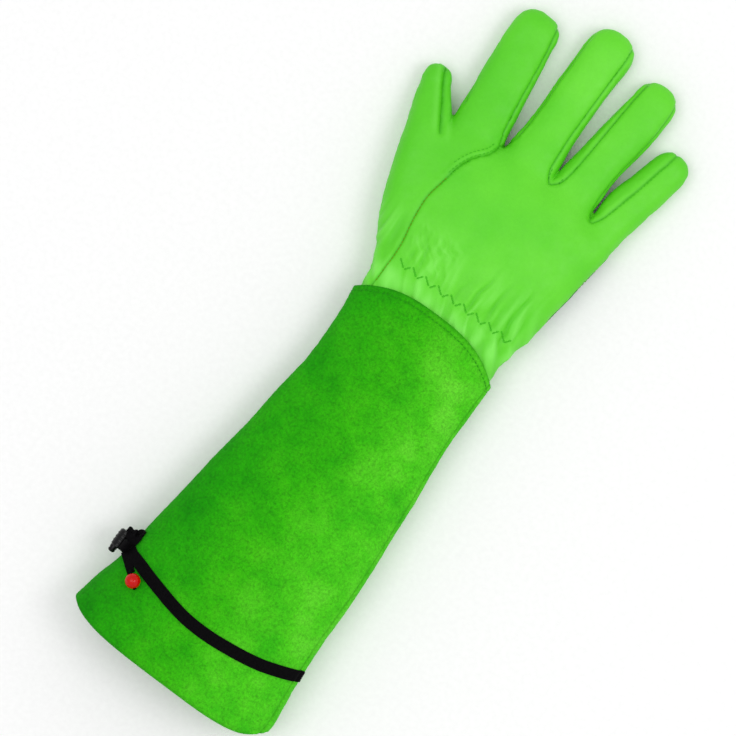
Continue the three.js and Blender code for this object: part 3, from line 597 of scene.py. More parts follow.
def thumb_crease(points, top):
    """Deep seam along the thumb's back, with a rounded edge beside it."""
    result = np.zeros(len(points))
    line = curve_through(THUMB_SEAM, 1.0)
    near = top & (points[:, 0] < -50) & (points[:, 1] > 325) & (points[:, 1] < 376)
    gap = polygon_side(points[near], np.concatenate([line, line[::-1]]))
    relief = 0.45 * bump_at(gap - 4.0, 1.7) - 0.95 * bump_at(gap, 1.7)
    result[near] = ease(331, 340, points[near, 1]) * relief
    return result


def seam_groove(points, normals, seams, kinds):
    """Distance to the sewn seams, without the stretches where the skin only turns a soft corner."""
    x, y, _ = points[seams[:, 0]].T
    thumb_web = (kinds == [1, 3]).all(axis=1) & (x > -59.6) & (y > 328)
    index_web = (kinds == [1, 2]).all(axis=1) & (y < 352) & (y > 330)
    cut = seams[~(thumb_web | index_web)]
    targets = np.concatenate([points[cut[:, 0]], points[cut[:, 1]], points[cut].mean(axis=1)])
    facing = np.concatenate([normals[cut[:, 0]], normals[cut[:, 1]], unit(normals[cut].mean(axis=1))])
    return nearest(points, targets, normals, facing)


def finish_hand(points, normals, seams, kinds):
    """The skin with its seams, folds and gathers, and its painted shading: painted shade in the seams and
    hollows, painted highlight on the ridges and above the cuff.
    """
    d = seam_groove(points, normals, seams, kinds)
    top = normals[:, 2] > 0.3
    pucker = 1 + 0.35 * noise(points, 3.4, 4.4)
    groove = -0.62 * bump_at(d, 0.75) * pucker - 0.22 * bump_at(d, 2.4)
    shoulder = 0.2 * bump_at(d - 2.7, 1.5) * (1 + 0.8 * noise(points, 3.0, 8.1))
    soft = 0.3 * noise(points, 17.0, 6.6) + 0.1 * noise(points, 6.5, 0.9) + 0.03 * noise(points, 2.2, 7.7)
    wrist = wrist_relief(points, normals)
    arcs = heel_arcs(points, normals)
    thumb = thumb_crease(points, top)
    total = groove + shoulder + soft + wrist + arcs + back_seam_strip(points, top) + thumb
    total = np.where(points[:, 2] < 3.0, np.minimum(total, 0.2), total)
    moved = points + normals * total[:, None]
    moved[:, 2] = np.maximum(moved[:, 2], GROUND)
    x, y, _ = points.T
    # Painted shading: painted shade in the seam grooves and in the hollows of the gathers, heel wrinkles and
    # thumb crease, painted highlight on their ridges.
    painted_shading = bump_at(d, 0.7) - 0.5 * (wrist + 0.42 * elastic_channel(y)) - 0.2 * arcs - 0.45 * thumb
    # Painted highlight: lighter leather just above the cuff and a soft lighter patch on the back near the
    # wrist.
    painted_highlight = 0.5 * bump_at(y - 253, 6.5) + 0.42 * np.exp(-((x + 22) / 12)**2 - ((y - 279) / 10)**2)
    painted_shading = painted_shading - painted_highlight * top * (0.7 + 0.6 * noise(points, (5, 16, 9), 5.5))
    return moved, np.clip(painted_shading, -0.7, 1.0)


def mesh_object(name, points, faces, material, values=None, sharp=None, smooth=True):
    """faces is a list of arrays of triangles or quads; values are named numbers at the vertices."""
    mesh = bpy.data.meshes.new(name)
    mesh.vertices.add(len(points))
    mesh.vertices.foreach_set("co", (np.asarray(points) * MM).astype(np.float32).ravel())
    loops = np.concatenate([f.ravel() for f in faces])
    sizes = np.concatenate([np.full(len(f), f.shape[1]) for f in faces])
    mesh.loops.add(len(loops))
    mesh.loops.foreach_set("vertex_index", loops.astype(np.int32))
    mesh.polygons.add(len(sizes))
    mesh.polygons.foreach_set("loop_start", np.concatenate([[0], np.cumsum(sizes)[:-1]]).astype(np.int32))
    mesh.update(calc_edges=True)
    mesh.validate()
    mesh.polygons.foreach_set("use_smooth", np.full(len(mesh.polygons), smooth))
    for key, data in (values or {}).items():
        layer = mesh.attributes.new(key, "FLOAT", "POINT")
        layer.data.foreach_set("value", np.asarray(data, np.float32))
    if sharp is not None:
        pairs = np.empty(len(mesh.edges) * 2, np.int32)
        mesh.edges.foreach_get("vertices", pairs)
        pairs = np.sort(pairs.reshape(-1, 2), axis=1).astype(np.int64) @ [len(points), 1]
        layer = mesh.attributes.new("sharp_edge", "BOOLEAN", "EDGE")
        layer.data.foreach_set("value", np.isin(pairs, np.sort(sharp, axis=1) @ [len(points), 1]))
    mesh.update()
    mesh.materials.append(material)
    obj = bpy.data.objects.new(name, mesh)
    bpy.context.scene.collection.objects.link(obj)
    return obj


def dress(obj, node=None, body="gauntlet"):
    """Hides the CAD node that a piece stands in for, if one is given, and puts the piece on the body that it
    rides on.
    """
    if node:
        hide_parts(node)
    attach(obj, body)


def open_edges(faces):
    """Directed edges of quads that no other face shares."""
    pairs = sides(faces)
    n = faces.max() + 1
    return pairs[~np.isin(pairs @ [n, 1], pairs @ [1, n])]


def sheet(name, outer, inner, skin, material, painted_shading):
    """A closed sheet between an outer and an inner skin, with crisp rims."""
    n = len(outer)
    rim = open_edges(skin)
    wall = np.stack([rim[:, 1], rim[:, 0], rim[:, 0] + n, rim[:, 1] + n], axis=1)
    faces = np.concatenate([skin, skin[:, ::-1] + n, wall])
    return mesh_object(name, np.concatenate([outer, inner]), [faces], material, {"painted_shading": painted_shading},
                       np.concatenate([rim, rim + n]))


# Materials
def node_material(name):
    m = bpy.data.materials.new(name)
    m.use_nodes = True
    tree = m.node_tree
    tree.nodes.clear()
    out = tree.nodes.new("ShaderNodeOutputMaterial")
    shader = tree.nodes.new("ShaderNodeBsdfPrincipled")
    tree.links.new(shader.outputs[0], out.inputs["Surface"])
    return m, tree, shader


class Nodes:
    def __init__(self, tree):
        self.tree = tree

    def add(self, kind, settings=None, **inputs):
        node = self.tree.nodes.new(kind)
        for key, value in (settings or {}).items():
            setattr(node, key, value)
        for key, value in inputs.items():
            self.put(node.inputs[key.replace("_", " ")], value)
        return node

    def put(self, socket, value):
        if hasattr(value, "is_output"):
            self.tree.links.new(value, socket)
        else:
            socket.default_value = value

    def place(self, scale):
        coord = self.add("ShaderNodeTexCoord")
        mapping = self.add("ShaderNodeMapping", Scale=scale)
        self.put(mapping.inputs["Vector"], coord.outputs["Object"])
        return mapping.outputs[0]

    def noise(self, size, detail=3.0, roughness=0.55, distortion=0.0):
        """Noise whose cells are about size millimetres, given as one number or three."""
        sizes = size if isinstance(size, tuple) else (size,) * 3
        node = self.add("ShaderNodeTexNoise", Scale=1.0, Detail=detail, Roughness=roughness,
                        Distortion=distortion)
        self.put(node.inputs["Vector"], self.place(tuple(1000.0 / s for s in sizes)))
        return node.outputs["Fac"]

    def cells(self, size):
        node = self.add("ShaderNodeTexVoronoi", Scale=1.0)
        self.put(node.inputs["Vector"], self.place((1000.0 / size,) * 3))
        return node.outputs["Distance"]

    def ramp(self, value, *stops):
        node = self.add("ShaderNodeValToRGB")
        band = node.color_ramp
        while len(band.elements) < len(stops):
            band.elements.new(0.5)
        for element, (place, colour) in zip(band.elements, stops):
            element.position = place
            element.color = (*colour, 1) if isinstance(colour, tuple) else (colour, colour, colour, 1)
        self.put(node.inputs[0], value)
        return node.outputs[0]

    def mix(self, amount, a, b, how="MIX"):
        node = self.add("ShaderNodeMix", {"data_type": "RGBA", "blend_type": how})
        self.put(node.inputs[0], amount)
        self.put(node.inputs[6], a)
        self.put(node.inputs[7], b)
        return node.outputs[2]

    def math(self, how, a, b=0.0, clamp=False):
        node = self.add("ShaderNodeMath", {"operation": how, "use_clamp": clamp})
        self.put(node.inputs[0], a)
        self.put(node.inputs[1], b)
        return node.outputs[0]

    def scale(self, colour, amount):
        node = self.add("ShaderNodeVectorMath", {"operation": "SCALE"}, Scale=amount)
        self.put(node.inputs[0], colour)
        return node.outputs[0]

    def attribute(self, name):
        return self.add("ShaderNodeAttribute", {"attribute_name": name}).outputs["Fac"]

    def side_shaded(self, colour, side_shading):
        """A colour with painted shading across the glove, from the thumb side to the other, where 0.5 keeps
        it: painted shade where less light falls, painted highlight where more falls.
        """
        across = self.add("ShaderNodeSeparateXYZ")
        self.put(across.inputs[0], self.add("ShaderNodeTexCoord").outputs["Object"])
        share = self.math("ADD", self.math("MULTIPLY", across.outputs[0], 1 / (MOUTH_WIDTH * MM)), 0.5)
        return self.scale(self.mix(1.0, colour, self.ramp(share, *side_shading), "MULTIPLY"), 2.0)

    def bump(self, height, distance, strength=1.0, under=None):
        node = self.add("ShaderNodeBump", Strength=strength, Distance=distance * MM)
        self.put(node.inputs["Height"], height)
        if under is not None:
            self.put(node.inputs["Normal"], under)
        return node.outputs[0]


def linear(r, g, b):
    return tuple(((c / 255 + 0.055) / 1.055)**2.4 if c > 10 else c / 255 / 12.92 for c in (r, g, b))


def rgba(colour):
    return (*colour, 1.0)


def leather_material(name, base, dark, light, side_shading):
    m, tree, shader = node_material(name)
    n = Nodes(tree)
    colour = n.ramp(n.noise(42.0, 2.0), (0.3, dark), (0.5, base), (0.72, light))
    fine = n.ramp(n.noise(2.2, 4.0, 0.6), (0.35, 0.86), (0.7, 1.0))
    colour = n.side_shaded(n.mix(0.3, colour, fine, "MULTIPLY"), side_shading)
    # Painted shade: a deep colour mixed in along seams and hollows. Painted highlight: a pale colour mixed in
    # on ridges, where the attribute is below zero.
    painted_shading = n.attribute("painted_shading")
    deep = tuple(c * k for c, k in zip(dark, (0.34, 0.6, 0.2)))
    colour = n.mix(n.math("MULTIPLY", painted_shading, 0.62, True), colour, rgba(deep))
    pale = tuple(min(c * 1.08 + 0.07, 1) for c in light)
    colour = n.mix(n.math("MULTIPLY", painted_shading, -1.1, True), colour, rgba(pale))
    n.put(shader.inputs["Base Color"], colour)
    n.put(shader.inputs["Roughness"], n.ramp(n.noise(6.0, 3.0), (0.3, 0.44), (0.7, 0.58)))
    shader.inputs["Specular IOR Level"].default_value = 0.34
    pores = n.bump(n.cells(0.95), 0.06, 0.5)
    n.put(shader.inputs["Normal"], n.bump(n.noise(1.7, 5.0, 0.62), 0.14, 0.5, pores))
    return m


def suede_material(name, base, dark, light, side_shading=((0.0, 0.5), (1.0, 0.5))):
    m, tree, shader = node_material(name)
    n = Nodes(tree)
    colour = n.ramp(n.noise(26.0, 3.0, 0.6), (0.3, dark), (0.5, base), (0.74, light))
    mottle = n.noise(1.7, 5.0, 0.75, 0.2)
    colour = n.mix(0.85, colour, n.ramp(mottle, (0.34, 0.58), (0.5, 0.92), (0.66, 1.12)), "MULTIPLY")
    fibre = n.noise((0.6, 1.2, 0.6), 3.0, 0.7)
    colour = n.mix(0.5, colour, n.ramp(fibre, (0.34, 0.66), (0.66, 1.1)), "MULTIPLY")
    # Painted shade: a deep colour mixed in along the sewn lines, the edges and inside the cuff and patch.
    amount = n.math("MULTIPLY", n.attribute("painted_shading"), 0.6, True)
    deep = rgba(tuple(c * 0.45 for c in dark))
    n.put(shader.inputs["Base Color"], n.mix(amount, n.side_shaded(colour, side_shading), deep))
    n.put(shader.inputs["Roughness"], n.ramp(mottle, (0.3, 0.85), (0.7, 0.97)))
    shader.inputs["Specular IOR Level"].default_value = 0.15
    shader.inputs["Sheen Weight"].default_value = 0.12
    shader.inputs["Sheen Roughness"].default_value = 0.5
    shader.inputs["Sheen Tint"].default_value = rgba(light)
    n.put(shader.inputs["Normal"], n.bump(fibre, 0.225, 0.7, n.bump(mottle, 0.405, 0.6)))
    return m


# Painted shading across the glove: the leather's thumb side is painted a little darker as shade. On the suede
# the thumb side gets much deeper painted shade and the little-finger side a painted highlight on its rounded
# edge
HAND = leather_material("hand_leather", linear(97, 214, 37), linear(89, 208, 31), linear(104, 219, 45),
                        ((0.1, (0.38, 0.45, 0.28)), (0.36, (0.49, 0.497, 0.47)), (0.6, 0.5),
                         (1.0, (0.48, 0.49, 0.46))))
CUFF = suede_material("cuff_suede", linear(56, 184, 18), linear(38, 166, 10), linear(76, 198, 36),
                      ((0.0, (0.09, 0.3, 0.02)), (0.22, (0.2, 0.385, 0.04)), (0.5, (0.47, 0.49, 0.17)),
                       (0.76, (0.93, 0.63, 0.8)), (1.0, (0.96, 0.65, 0.9))))
DARK = suede_material("patch_suede", linear(12, 132, 52), linear(6, 112, 42), linear(24, 150, 66))


def build_panels():
    points, faces, normals, classes, seams, kinds = build_hand()
    moved, painted_shading = finish_hand(points, normals, seams, kinds)
    for k, name in enumerate(PANELS):
        mine = faces[classes == k]
        used, number = used_by(mine, len(points))
        outer = moved[used]
        obj = sheet(name + "_leather", outer, outer - normals[used] * LEATHER, number[mine], HAND,
                    np.tile(painted_shading[used], 2))
        dress(obj, name)
    return points, normals, moved, faces


hand_base, hand_normals, hand_points, hand_faces = build_panels()

# Cuff: rows of place along as a share of its length, left, right, height
CUFF_ROWS = np.array([
    [0.000, -68.1, 66.6, 50.0],
    [0.035, -66.4, 67.2, 50.0],
    [0.080, -64.0, 66.2, 49.6],
    [0.125, -61.0, 65.0, 49.0],
    [0.250, -57.2, 62.8, 47.0],
    [0.420, -53.1, 59.9, 44.5],
    [0.625, -48.0, 56.0, 41.5],
    [0.830, -44.1, 51.1, 38.5],
    [0.925, -44.6, 50.5, 37.3],
    [1.000, -46.8, 51.1, 37.0],
])
CUFF_AROUND = 288
CUFF_ALONG = 250
CUFF_INSIDE = 60
CUFF_SPAN = CUFF_LENGTH + 12
CUFF_SEAM = 0.30
CUFF_HEART = (2, 0, 20)
HEM_BACK, HEM_PALM = 7.6, 10.8
HEM_LINE = 6.5
TOP_BACK, TOP_PALM = 10.8, 1.2
TOP_STITCH = 3.4


def cuff_section(y, angle):
    left, right, height = rows_at(CUFF_ROWS, y / CUFF_LENGTH).T
    sine, cosine = np.sin(angle), np.cos(angle)
    above = sine >= 0
    power = 2 / np.where(above, 2.1, 2.5)
    reach = np.where(above, height * (1 - SEAM_SHARE), height * SEAM_SHARE * PRESSED)
    across = (left + right) / 2 + (right - left) / 2 * np.sign(cosine) * np.abs(cosine)**power
    level = height * SEAM_SHARE + reach * np.sign(sine) * np.abs(sine)**power
    return across, np.maximum(level, 0)


def even_angles(count):
    """Angles whose points lie about evenly round a section half way along."""
    fine = np.linspace(0, TAU, 2881)
    x, z = cuff_section(np.full(len(fine), CUFF_LENGTH / 2), fine)
    along = lengths(np.column_stack([x, z]))
    return np.interp(np.arange(count) / count * along[-1], along, fine)


def cuff_y(share, angle):
    cosine, back = np.cos(angle), np.sin(angle) >= 0
    bow = np.clip(1 - np.abs(cosine)**2.6, 0, 1)
    square = 1 - np.abs(cosine)**4.4
    corner = np.where(cosine > 0, 4.5 * np.abs(cosine)**14, 1.2 * np.abs(cosine)**24)
    hem = corner - np.where(back, HEM_BACK, HEM_PALM) * square
    top = CUFF_LENGTH - 3.5 + np.where(back, TOP_BACK + 3.5, TOP_PALM + 3.5) * bow
    return hem + share * (top - hem)


def ring_faces(rows, columns, closed=False):
    i, j = np.meshgrid(np.arange(rows - (0 if closed else 1)), np.arange(columns), indexing="ij")
    i, j = i.ravel(), j.ravel()
    i2, j2 = (i + 1) % rows, (j + 1) % columns
    return np.stack([i * columns + j, i * columns + j2, i2 * columns + j2, i2 * columns + j], axis=1)


def grid_normals(g):
    du = np.roll(g, -1, axis=1) - np.roll(g, 1, axis=1)
    dv = np.empty_like(g)
    dv[1:-1] = g[2:] - g[:-2]
    dv[0], dv[-1] = g[1] - g[0], g[-1] - g[-2]
    return unit(np.cross(dv, du))


def cuff_relief(points, angles, shares):
    """Drape, sewn lines and nap of the cuff, and painted shade for its colour along the sewn lines and the
    edges.
    """
    x, y, z = points.T
    edge_in = (1 - shares) * CUFF_SPAN
    hem_in = shares * CUFF_SPAN
    waves = (0.9 * noise(points, (46, 62, 46), 1.1) + 0.35 * noise(points, (19, 26, 19), 2.7)
             + 0.12 * noise(points, 6.0, 4.9))
    # The lock's side is calm, so that it stays clear
    calm = np.exp(-((x + 52)**2 + (y - 34)**2) / 16.0**2)
    drape = waves * np.where(z < 3, 0.15, 1.0) * (1 - 0.85 * calm)
    edge_line = -0.42 * bump_at(edge_in - TOP_STITCH, 0.8) - 0.25 * bump_at(edge_in, 1.2)
    hem_line = np.where(np.sin(angles) >= 0, 0, -0.4 * bump_at(hem_in - HEM_LINE, 0.8))
    # The sewn seam shows on the back, just inside the little-finger side
    girth = np.abs(np.angle(np.exp(1j * (angles - CUFF_SEAM)))) * 45
    seam = -0.8 * bump_at(girth, 1.0) + 0.25 * bump_at(girth - 3, 1.7)
    fuzz = 0.06 * noise(points, 2.2, 3.3) + 0.04 * noise(points, 1.3, 6.1)
    total = drape + edge_line + hem_line + seam + fuzz
    # Painted shade along the sewn lines and at the hem and top edges.
    painted_shading = np.clip(-(edge_line + hem_line + seam) * 0.9, -0.2, 1.1)
    painted_shading = painted_shading + 0.5 * np.exp(-hem_in / 0.9) + 0.35 * np.exp(-edge_in / 0.8)
    return np.where(z < 2.0, np.minimum(total, 0.2), total), painted_shading


def build_cuff():
    s, a = np.meshgrid(np.linspace(0, 1, CUFF_ALONG), even_angles(CUFF_AROUND), indexing="ij")
    s, a = s.ravel(), a.ravel()
    y = cuff_y(s, a)
    x, z = cuff_section(y, a)
    outer = np.column_stack([x, y, z])
    grid = (CUFF_ALONG, CUFF_AROUND, 3)
    normals = grid_normals(outer.reshape(grid))
    total, painted_shading = cuff_relief(outer, a, s)
    skin = outer + normals.reshape(-1, 3) * total[:, None]
    skin[:, 2] = np.maximum(skin[:, 2], 0.0)
    rings = skin.reshape(grid)
    # Inside: the same form, moved in by the wall, with the hem turned up inside it
    near_hem, near_top = [0, 1, 2, 4, 6, 8, 9, 10], [CUFF_ALONG - 4, CUFF_ALONG - 2, CUFF_ALONG - 1]
    between = np.linspace(14, CUFF_ALONG - 6, CUFF_INSIDE - 12)
    pick = np.unique(np.round(np.concatenate([near_hem, between, near_top])).astype(int))
    wall = CUFF_WALL + 0.9 * (1 - ease(7.6, 9.2, pick * CUFF_SPAN / CUFF_ALONG))
    inner = rings[pick] - normals[pick] * wall[:, None, None]
    lips = []
    for row, thick, reach in ((0, wall[0], -0.35), (-1, wall[-1], 0.25)):
        lips.append(rings[row] - normals[row] * thick * 0.5 + [0, reach * thick, 0])
    loops = np.concatenate([rings, lips[1][None], inner[::-1], lips[0][None]])
    # Painted shade: the inside of the cuff is painted a little darker.
    deep = np.full(len(loops) * CUFF_AROUND, 0.25)
    deep[:len(painted_shading)] = painted_shading
    faces = ring_faces(len(loops), CUFF_AROUND, closed=True)[:, ::-1]
    obj = mesh_object("cuff_suede_tube", loops.reshape(-1, 3), [faces], CUFF, {"painted_shading": deep})
    dress(obj, "cuff")
    return skin, ring_faces(CUFF_ALONG, CUFF_AROUND)


cuff_points, cuff_faces = build_cuff()


class Skin:
    """A surface that pieces are laid on."""

    def __init__(self, points, faces):
        self.tree = BVHTree.FromPolygons(points.tolist(), faces.tolist())

    def onto(self, points, outward, far=30.0):
        """Points moved along outward onto the surface, or left where they are if they miss it."""
        result = np.array(points, float)
        outward = np.broadcast_to(outward, result.shape)
        for i, (p, o) in enumerate(zip(points, outward)):
            hit = self.tree.ray_cast(Vector(p + o * far), Vector(-o), 2 * far + 40)[0]
            if hit is not None:
                result[i] = hit
        return result


hand_skin = Skin(hand_points, hand_faces)
cuff_skin = Skin(cuff_points, cuff_faces)
UP, DOWN = np.array([0, 0, 1.0]), np.array([0, 0, -1.0])


def plan(points, level):
    points = np.asarray(points, float)
    return np.column_stack([points[:, 0], points[:, 1], np.full(len(points), level)])


def tangents(line):
    return unit(np.gradient(line, axis=0))


def outward_from(directions, points):
    """Directions turned so that they point away from the cuff's middle line."""
    return directions * np.sign((directions * (points - CUFF_HEART)).sum(axis=1))[:, None]


def circle(corners):
    a = np.arange(corners) / corners * TAU
    return np.cos(a)[:, None], np.sin(a)[:, None]


def volume_sign(points, quads, middles):
    """Above zero where quads face away from their middles."""
    a, b, c = (points[quads[:, k]] for k in range(3))
    return ((a - middles) * np.cross(b - a, c - a)).sum()


def tubes(rings):
    """Closed tubes from rings: tube, ring, corner, place. Returns points, quads and end triangles."""
    count, length, corners = rings.shape[:3]
    size = length * corners + 2
    ends = np.stack([rings[:, 0].mean(axis=1), rings[:, -1].mean(axis=1)], axis=1)
    points = np.concatenate([rings.reshape(count, -1, 3), ends], axis=1).reshape(-1, 3)
    j = np.arange(corners)
    j2 = (j + 1) % corners
    last = (length - 1) * corners
    start = np.stack([np.full(corners, size - 2), j2, j], axis=1)
    stop = np.stack([np.full(corners, size - 1), last + j, last + j2], axis=1)
    base = (np.arange(count) * size)[:, None, None]
    quads = (ring_faces(length, corners)[None] + base).reshape(-1, 4)
    tris = (np.concatenate([start, stop])[None] + base).reshape(-1, 3)
    middles = np.repeat(rings.mean(axis=2), corners, axis=1)
    middles = np.concatenate([middles, ends], axis=1).reshape(-1, 3)
    if volume_sign(points, quads, middles[quads[:, 0]]) < 0:
        quads, tris = quads[:, ::-1], tris[:, ::-1]
    return points, quads, tris


def add_tubes(name, rings, material, slot=None, node=None, body="gauntlet"):
    """An object of closed tubes, dressed if it has a slot."""
    points, quads, tris = tubes(np.asarray(rings, float))
    obj = mesh_object(name, points, [quads, tris], material)
    if slot:
        dress(obj, node, body)
    return obj


def round_tube(line, radii, up=(0, 0, 1)):
    """Rings round a line."""
    t = tangents(line)
    side = unit(np.cross(t, np.broadcast_to(up, t.shape)))
    over = np.cross(side, t)
    cosine, sine = circle(12)
    radii = np.broadcast_to(radii, len(line))[:, None, None]
    return line[:, None] + radii * (cosine * side[:, None] + sine * over[:, None])


def turned(centre, axis, profile, corners=40):
    """Rings of a turned piece: profile rows are radius and distance along the axis."""
    profile = np.asarray(profile, float)
    axis = unit(np.asarray(axis, float))
    side = unit(np.cross(axis, [0.3, 0.2, 1.0]))
    cosine, sine = circle(corners)
    ring = cosine * side + sine * np.cross(axis, side)
    return np.asarray(centre) + profile[:, 1, None, None] * axis + profile[:, 0, None, None] * ring[None]


def simple_material(name, dark, light, size, rough, bump, coat=0.0, specular=0.06):
    m, tree, shader = node_material(name)
    n = Nodes(tree)
    grain = n.noise(size, 4.0, 0.6)
    n.put(shader.inputs["Base Color"], n.ramp(grain, (0.3, dark), (0.72, light)))
    patches = n.noise(1.4 if isinstance(size, tuple) else size * 2.3, 3.0)
    n.put(shader.inputs["Roughness"], n.ramp(patches, (0.3, rough[0]), (0.7, rough[1])))
    shader.inputs["Specular IOR Level"].default_value = specular
    shader.inputs["Coat Weight"].default_value = coat
    shader.inputs["Coat Roughness"].default_value = 0.06
    n.put(shader.inputs["Normal"], n.bump(grain, bump, 0.6))
    return m


def thread_material(name, dark, light, bump=0.05):
    return simple_material(name, linear(*dark), linear(*light), 0.5, (0.6, 0.8), bump, specular=0.15)


WEB = simple_material("black_webbing", (0.0006, 0.0005, 0.0007), (0.0035, 0.003, 0.004), (0.35, 0.9, 0.35),
                      (0.75, 0.95), 0.12)
PLASTIC = simple_material("lock_plastic", (0.0008, 0.0008, 0.0009), (0.003, 0.003, 0.0034), 0.8, (0.3, 0.4),
                          0.02, 0.35)
RED = simple_material("bead_plastic", linear(178, 3, 0), linear(204, 10, 0), 3.0, (0.3, 0.4), 0.01, 0.4)
THREAD = thread_material("thread_green", (64, 180, 28), (88, 202, 46), 0.02)
THREAD_CUFF = thread_material("thread_dark_green", (30, 136, 12), (44, 158, 20))
THREAD_OLIVE = thread_material("thread_olive", (92, 148, 10), (128, 174, 22))
THREAD_BROWN = thread_material("thread_brown", (96, 80, 20), (134, 116, 40))


# Threads
STITCH_RISE = np.array([-0.45, 0.45, 0.7, 0.45, -0.45])
STITCH_SWELL = np.array([0.45, 0.95, 1.0, 0.95, 0.45])
THREAD_SIDES = 6


def stitch_rings(line, outward, pitch, length, radius):
    """Short rounded stitches along a line that lies on a surface."""
    along = lengths(line)
    starts = np.arange(0.4, along[-1] - length, pitch)
    if not len(starts):
        return np.empty((0, len(STITCH_RISE), THREAD_SIDES, 3))
    s = starts[:, None] + np.linspace(0, length, len(STITCH_RISE))
    outward = np.broadcast_to(outward, line.shape)
    centre = np.stack([np.interp(s, along, line[:, k]) for k in range(3)], axis=-1)
    over = np.stack([np.interp(s, along, outward[:, k]) for k in range(3)], axis=-1)
    centre = centre + over * (STITCH_RISE * radius)[:, None]
    t = unit(np.gradient(centre, axis=1))
    side = unit(np.cross(t, over))
    up = np.cross(side, t)
    cosine, sine = circle(THREAD_SIDES)
    swell = (STITCH_SWELL * radius)[:, None, None]
    return centre[:, :, None] + swell * (cosine * side[:, :, None] + sine * up[:, :, None])


def beside(line, distance):
    """A plan line moved to its left by a distance."""
    t = tangents(line)
    return line + np.column_stack([-t[:, 1], t[:, 0]]) * distance


def laid(skin, line, outward):
    """A plan line laid on a surface from above or below."""
    points = plan(line, 20.0)
    found = skin.onto(points, outward)
    return found[np.linalg.norm(found - points, axis=1) > 1e-6]


def part_of(points, low, high):
    """The stretch of a plan line between two places along the glove."""
    line = curve_through(points, 0.8)
    return line[(line[:, 1] > low) & (line[:, 1] < high)]


def zigzag(count=19):
    """Legs of the stitch that holds the elastic."""
    turn = np.where(np.arange(count) % 2 == 0, 1, -1)
    x = np.linspace(-34.5, 45.0, count) - 0.55 * turn
    teeth = np.column_stack([x, WRIST_STITCH + 0.2 + 2.25 * turn + 0.018 * x])
    share = np.linspace(-0.02, 1.02, 13)[:, None]
    return [a + (b - a) * share for a, b in zip(teeth[:-1], teeth[1:])]


# Rows of stitches on the hand: seam, distance beside it, stretch, pitch, length, radius
HAND_ROWS = [
    ("thread_hand", BACK_SEAM, -0.95, 318, 349.5, 2.5, 1.75, 0.27),
    ("thread_hand", BACK_SEAM, -3.35, 323, 349.0, 2.5, 1.75, 0.27),
    ("thread_hand", BACK_SEAM, 0.95, 311, 334, 2.5, 1.75, 0.27),
    ("thread_back_seam", BACK_SEAM, 0.35, 244, 318, 2.2, 1.9, 0.24),
    ("thread_hand", GAPS_TOP[0][0], 0.85, 352, 423, 2.6, 1.7, 0.2),
    ("thread_hand", GAPS_TOP[1][0], 0.85, 351, 438, 2.6, 1.7, 0.2),
    ("thread_hand", GAPS_TOP[1][1], -0.85, 351, 427, 2.6, 1.7, 0.2),
    ("thread_hand", GAPS_TOP[2][1], -0.85, 348, 404, 2.6, 1.7, 0.2),
]
RING_WEB = [(3.6, 358), (5.0, 352.5), (7.4, 349.0), (10.4, 351.6), (12.4, 358)]
THREAD_LOOKS = {"thread_hand": THREAD, "thread_back_seam": THREAD_OLIVE, "thread_elastic": THREAD,
                "thread_heel": THREAD_BROWN, "thread_cuff": THREAD_CUFF, "thread_hem": THREAD_CUFF}


def add_thread(name, rings, material, slot):
    rings[..., 2] = np.maximum(rings[..., 2], 0.0)
    add_tubes(name, rings, material, slot)


def cuff_ring(share, shift, low):
    """Stitches round the cuff beside an edge, from an angle to the full turn."""
    angles = np.linspace(0, TAU, 900)
    angles = angles[angles >= low]
    y = cuff_y(share, angles) + shift
    x, z = cuff_section(y, angles)
    ring = np.column_stack([x, y, z])
    outward = outward_from(unit(np.cross(unit(np.gradient(ring, axis=0)), [0, 1.0, 0])), ring)
    return stitch_rings(cuff_skin.onto(ring, outward, 6.0), outward, 2.7, 1.9, 0.24)


def add_stitches():
    rows = {name: [] for name in THREAD_LOOKS}
    for name, seam, distance, low, high, pitch, length, radius in HAND_ROWS:
        line = laid(hand_skin, beside(part_of(seam, low, high), distance), UP)
        rows[name].append(stitch_rings(line, UP, pitch, length, radius))
    web = laid(hand_skin, curve_through(RING_WEB, 0.6), UP)
    rows["thread_hand"].append(stitch_rings(web, UP, 2.3, 1.6, 0.22))
    for leg in zigzag():
        rows["thread_elastic"].append(stitch_rings(laid(hand_skin, leg, UP), UP, 1.95, 1.95, 0.46))
        rows["thread_elastic"].append(stitch_rings(laid(hand_skin, leg, DOWN), DOWN, 1.95, 1.9, 0.34))
    for distance in (0.95, 2.9):
        line = laid(hand_skin, beside(part_of(HEEL_SEAM, 240, 330), -distance), DOWN)
        rows["thread_heel"].append(stitch_rings(line, DOWN, 2.4, 1.7, 0.22))
    rows["thread_cuff"].append(cuff_ring(1.0, -TOP_STITCH, 0))
    rows["thread_hem"].append(cuff_ring(0.0, HEM_LINE + 0.1, math.pi))
    for name, rings in rows.items():
        slot = "cuff_suede" if name in ("thread_cuff", "thread_hem") else "hand_leather"
        add_thread(name, np.concatenate(rings), THREAD_LOOKS[name], slot)


add_stitches()


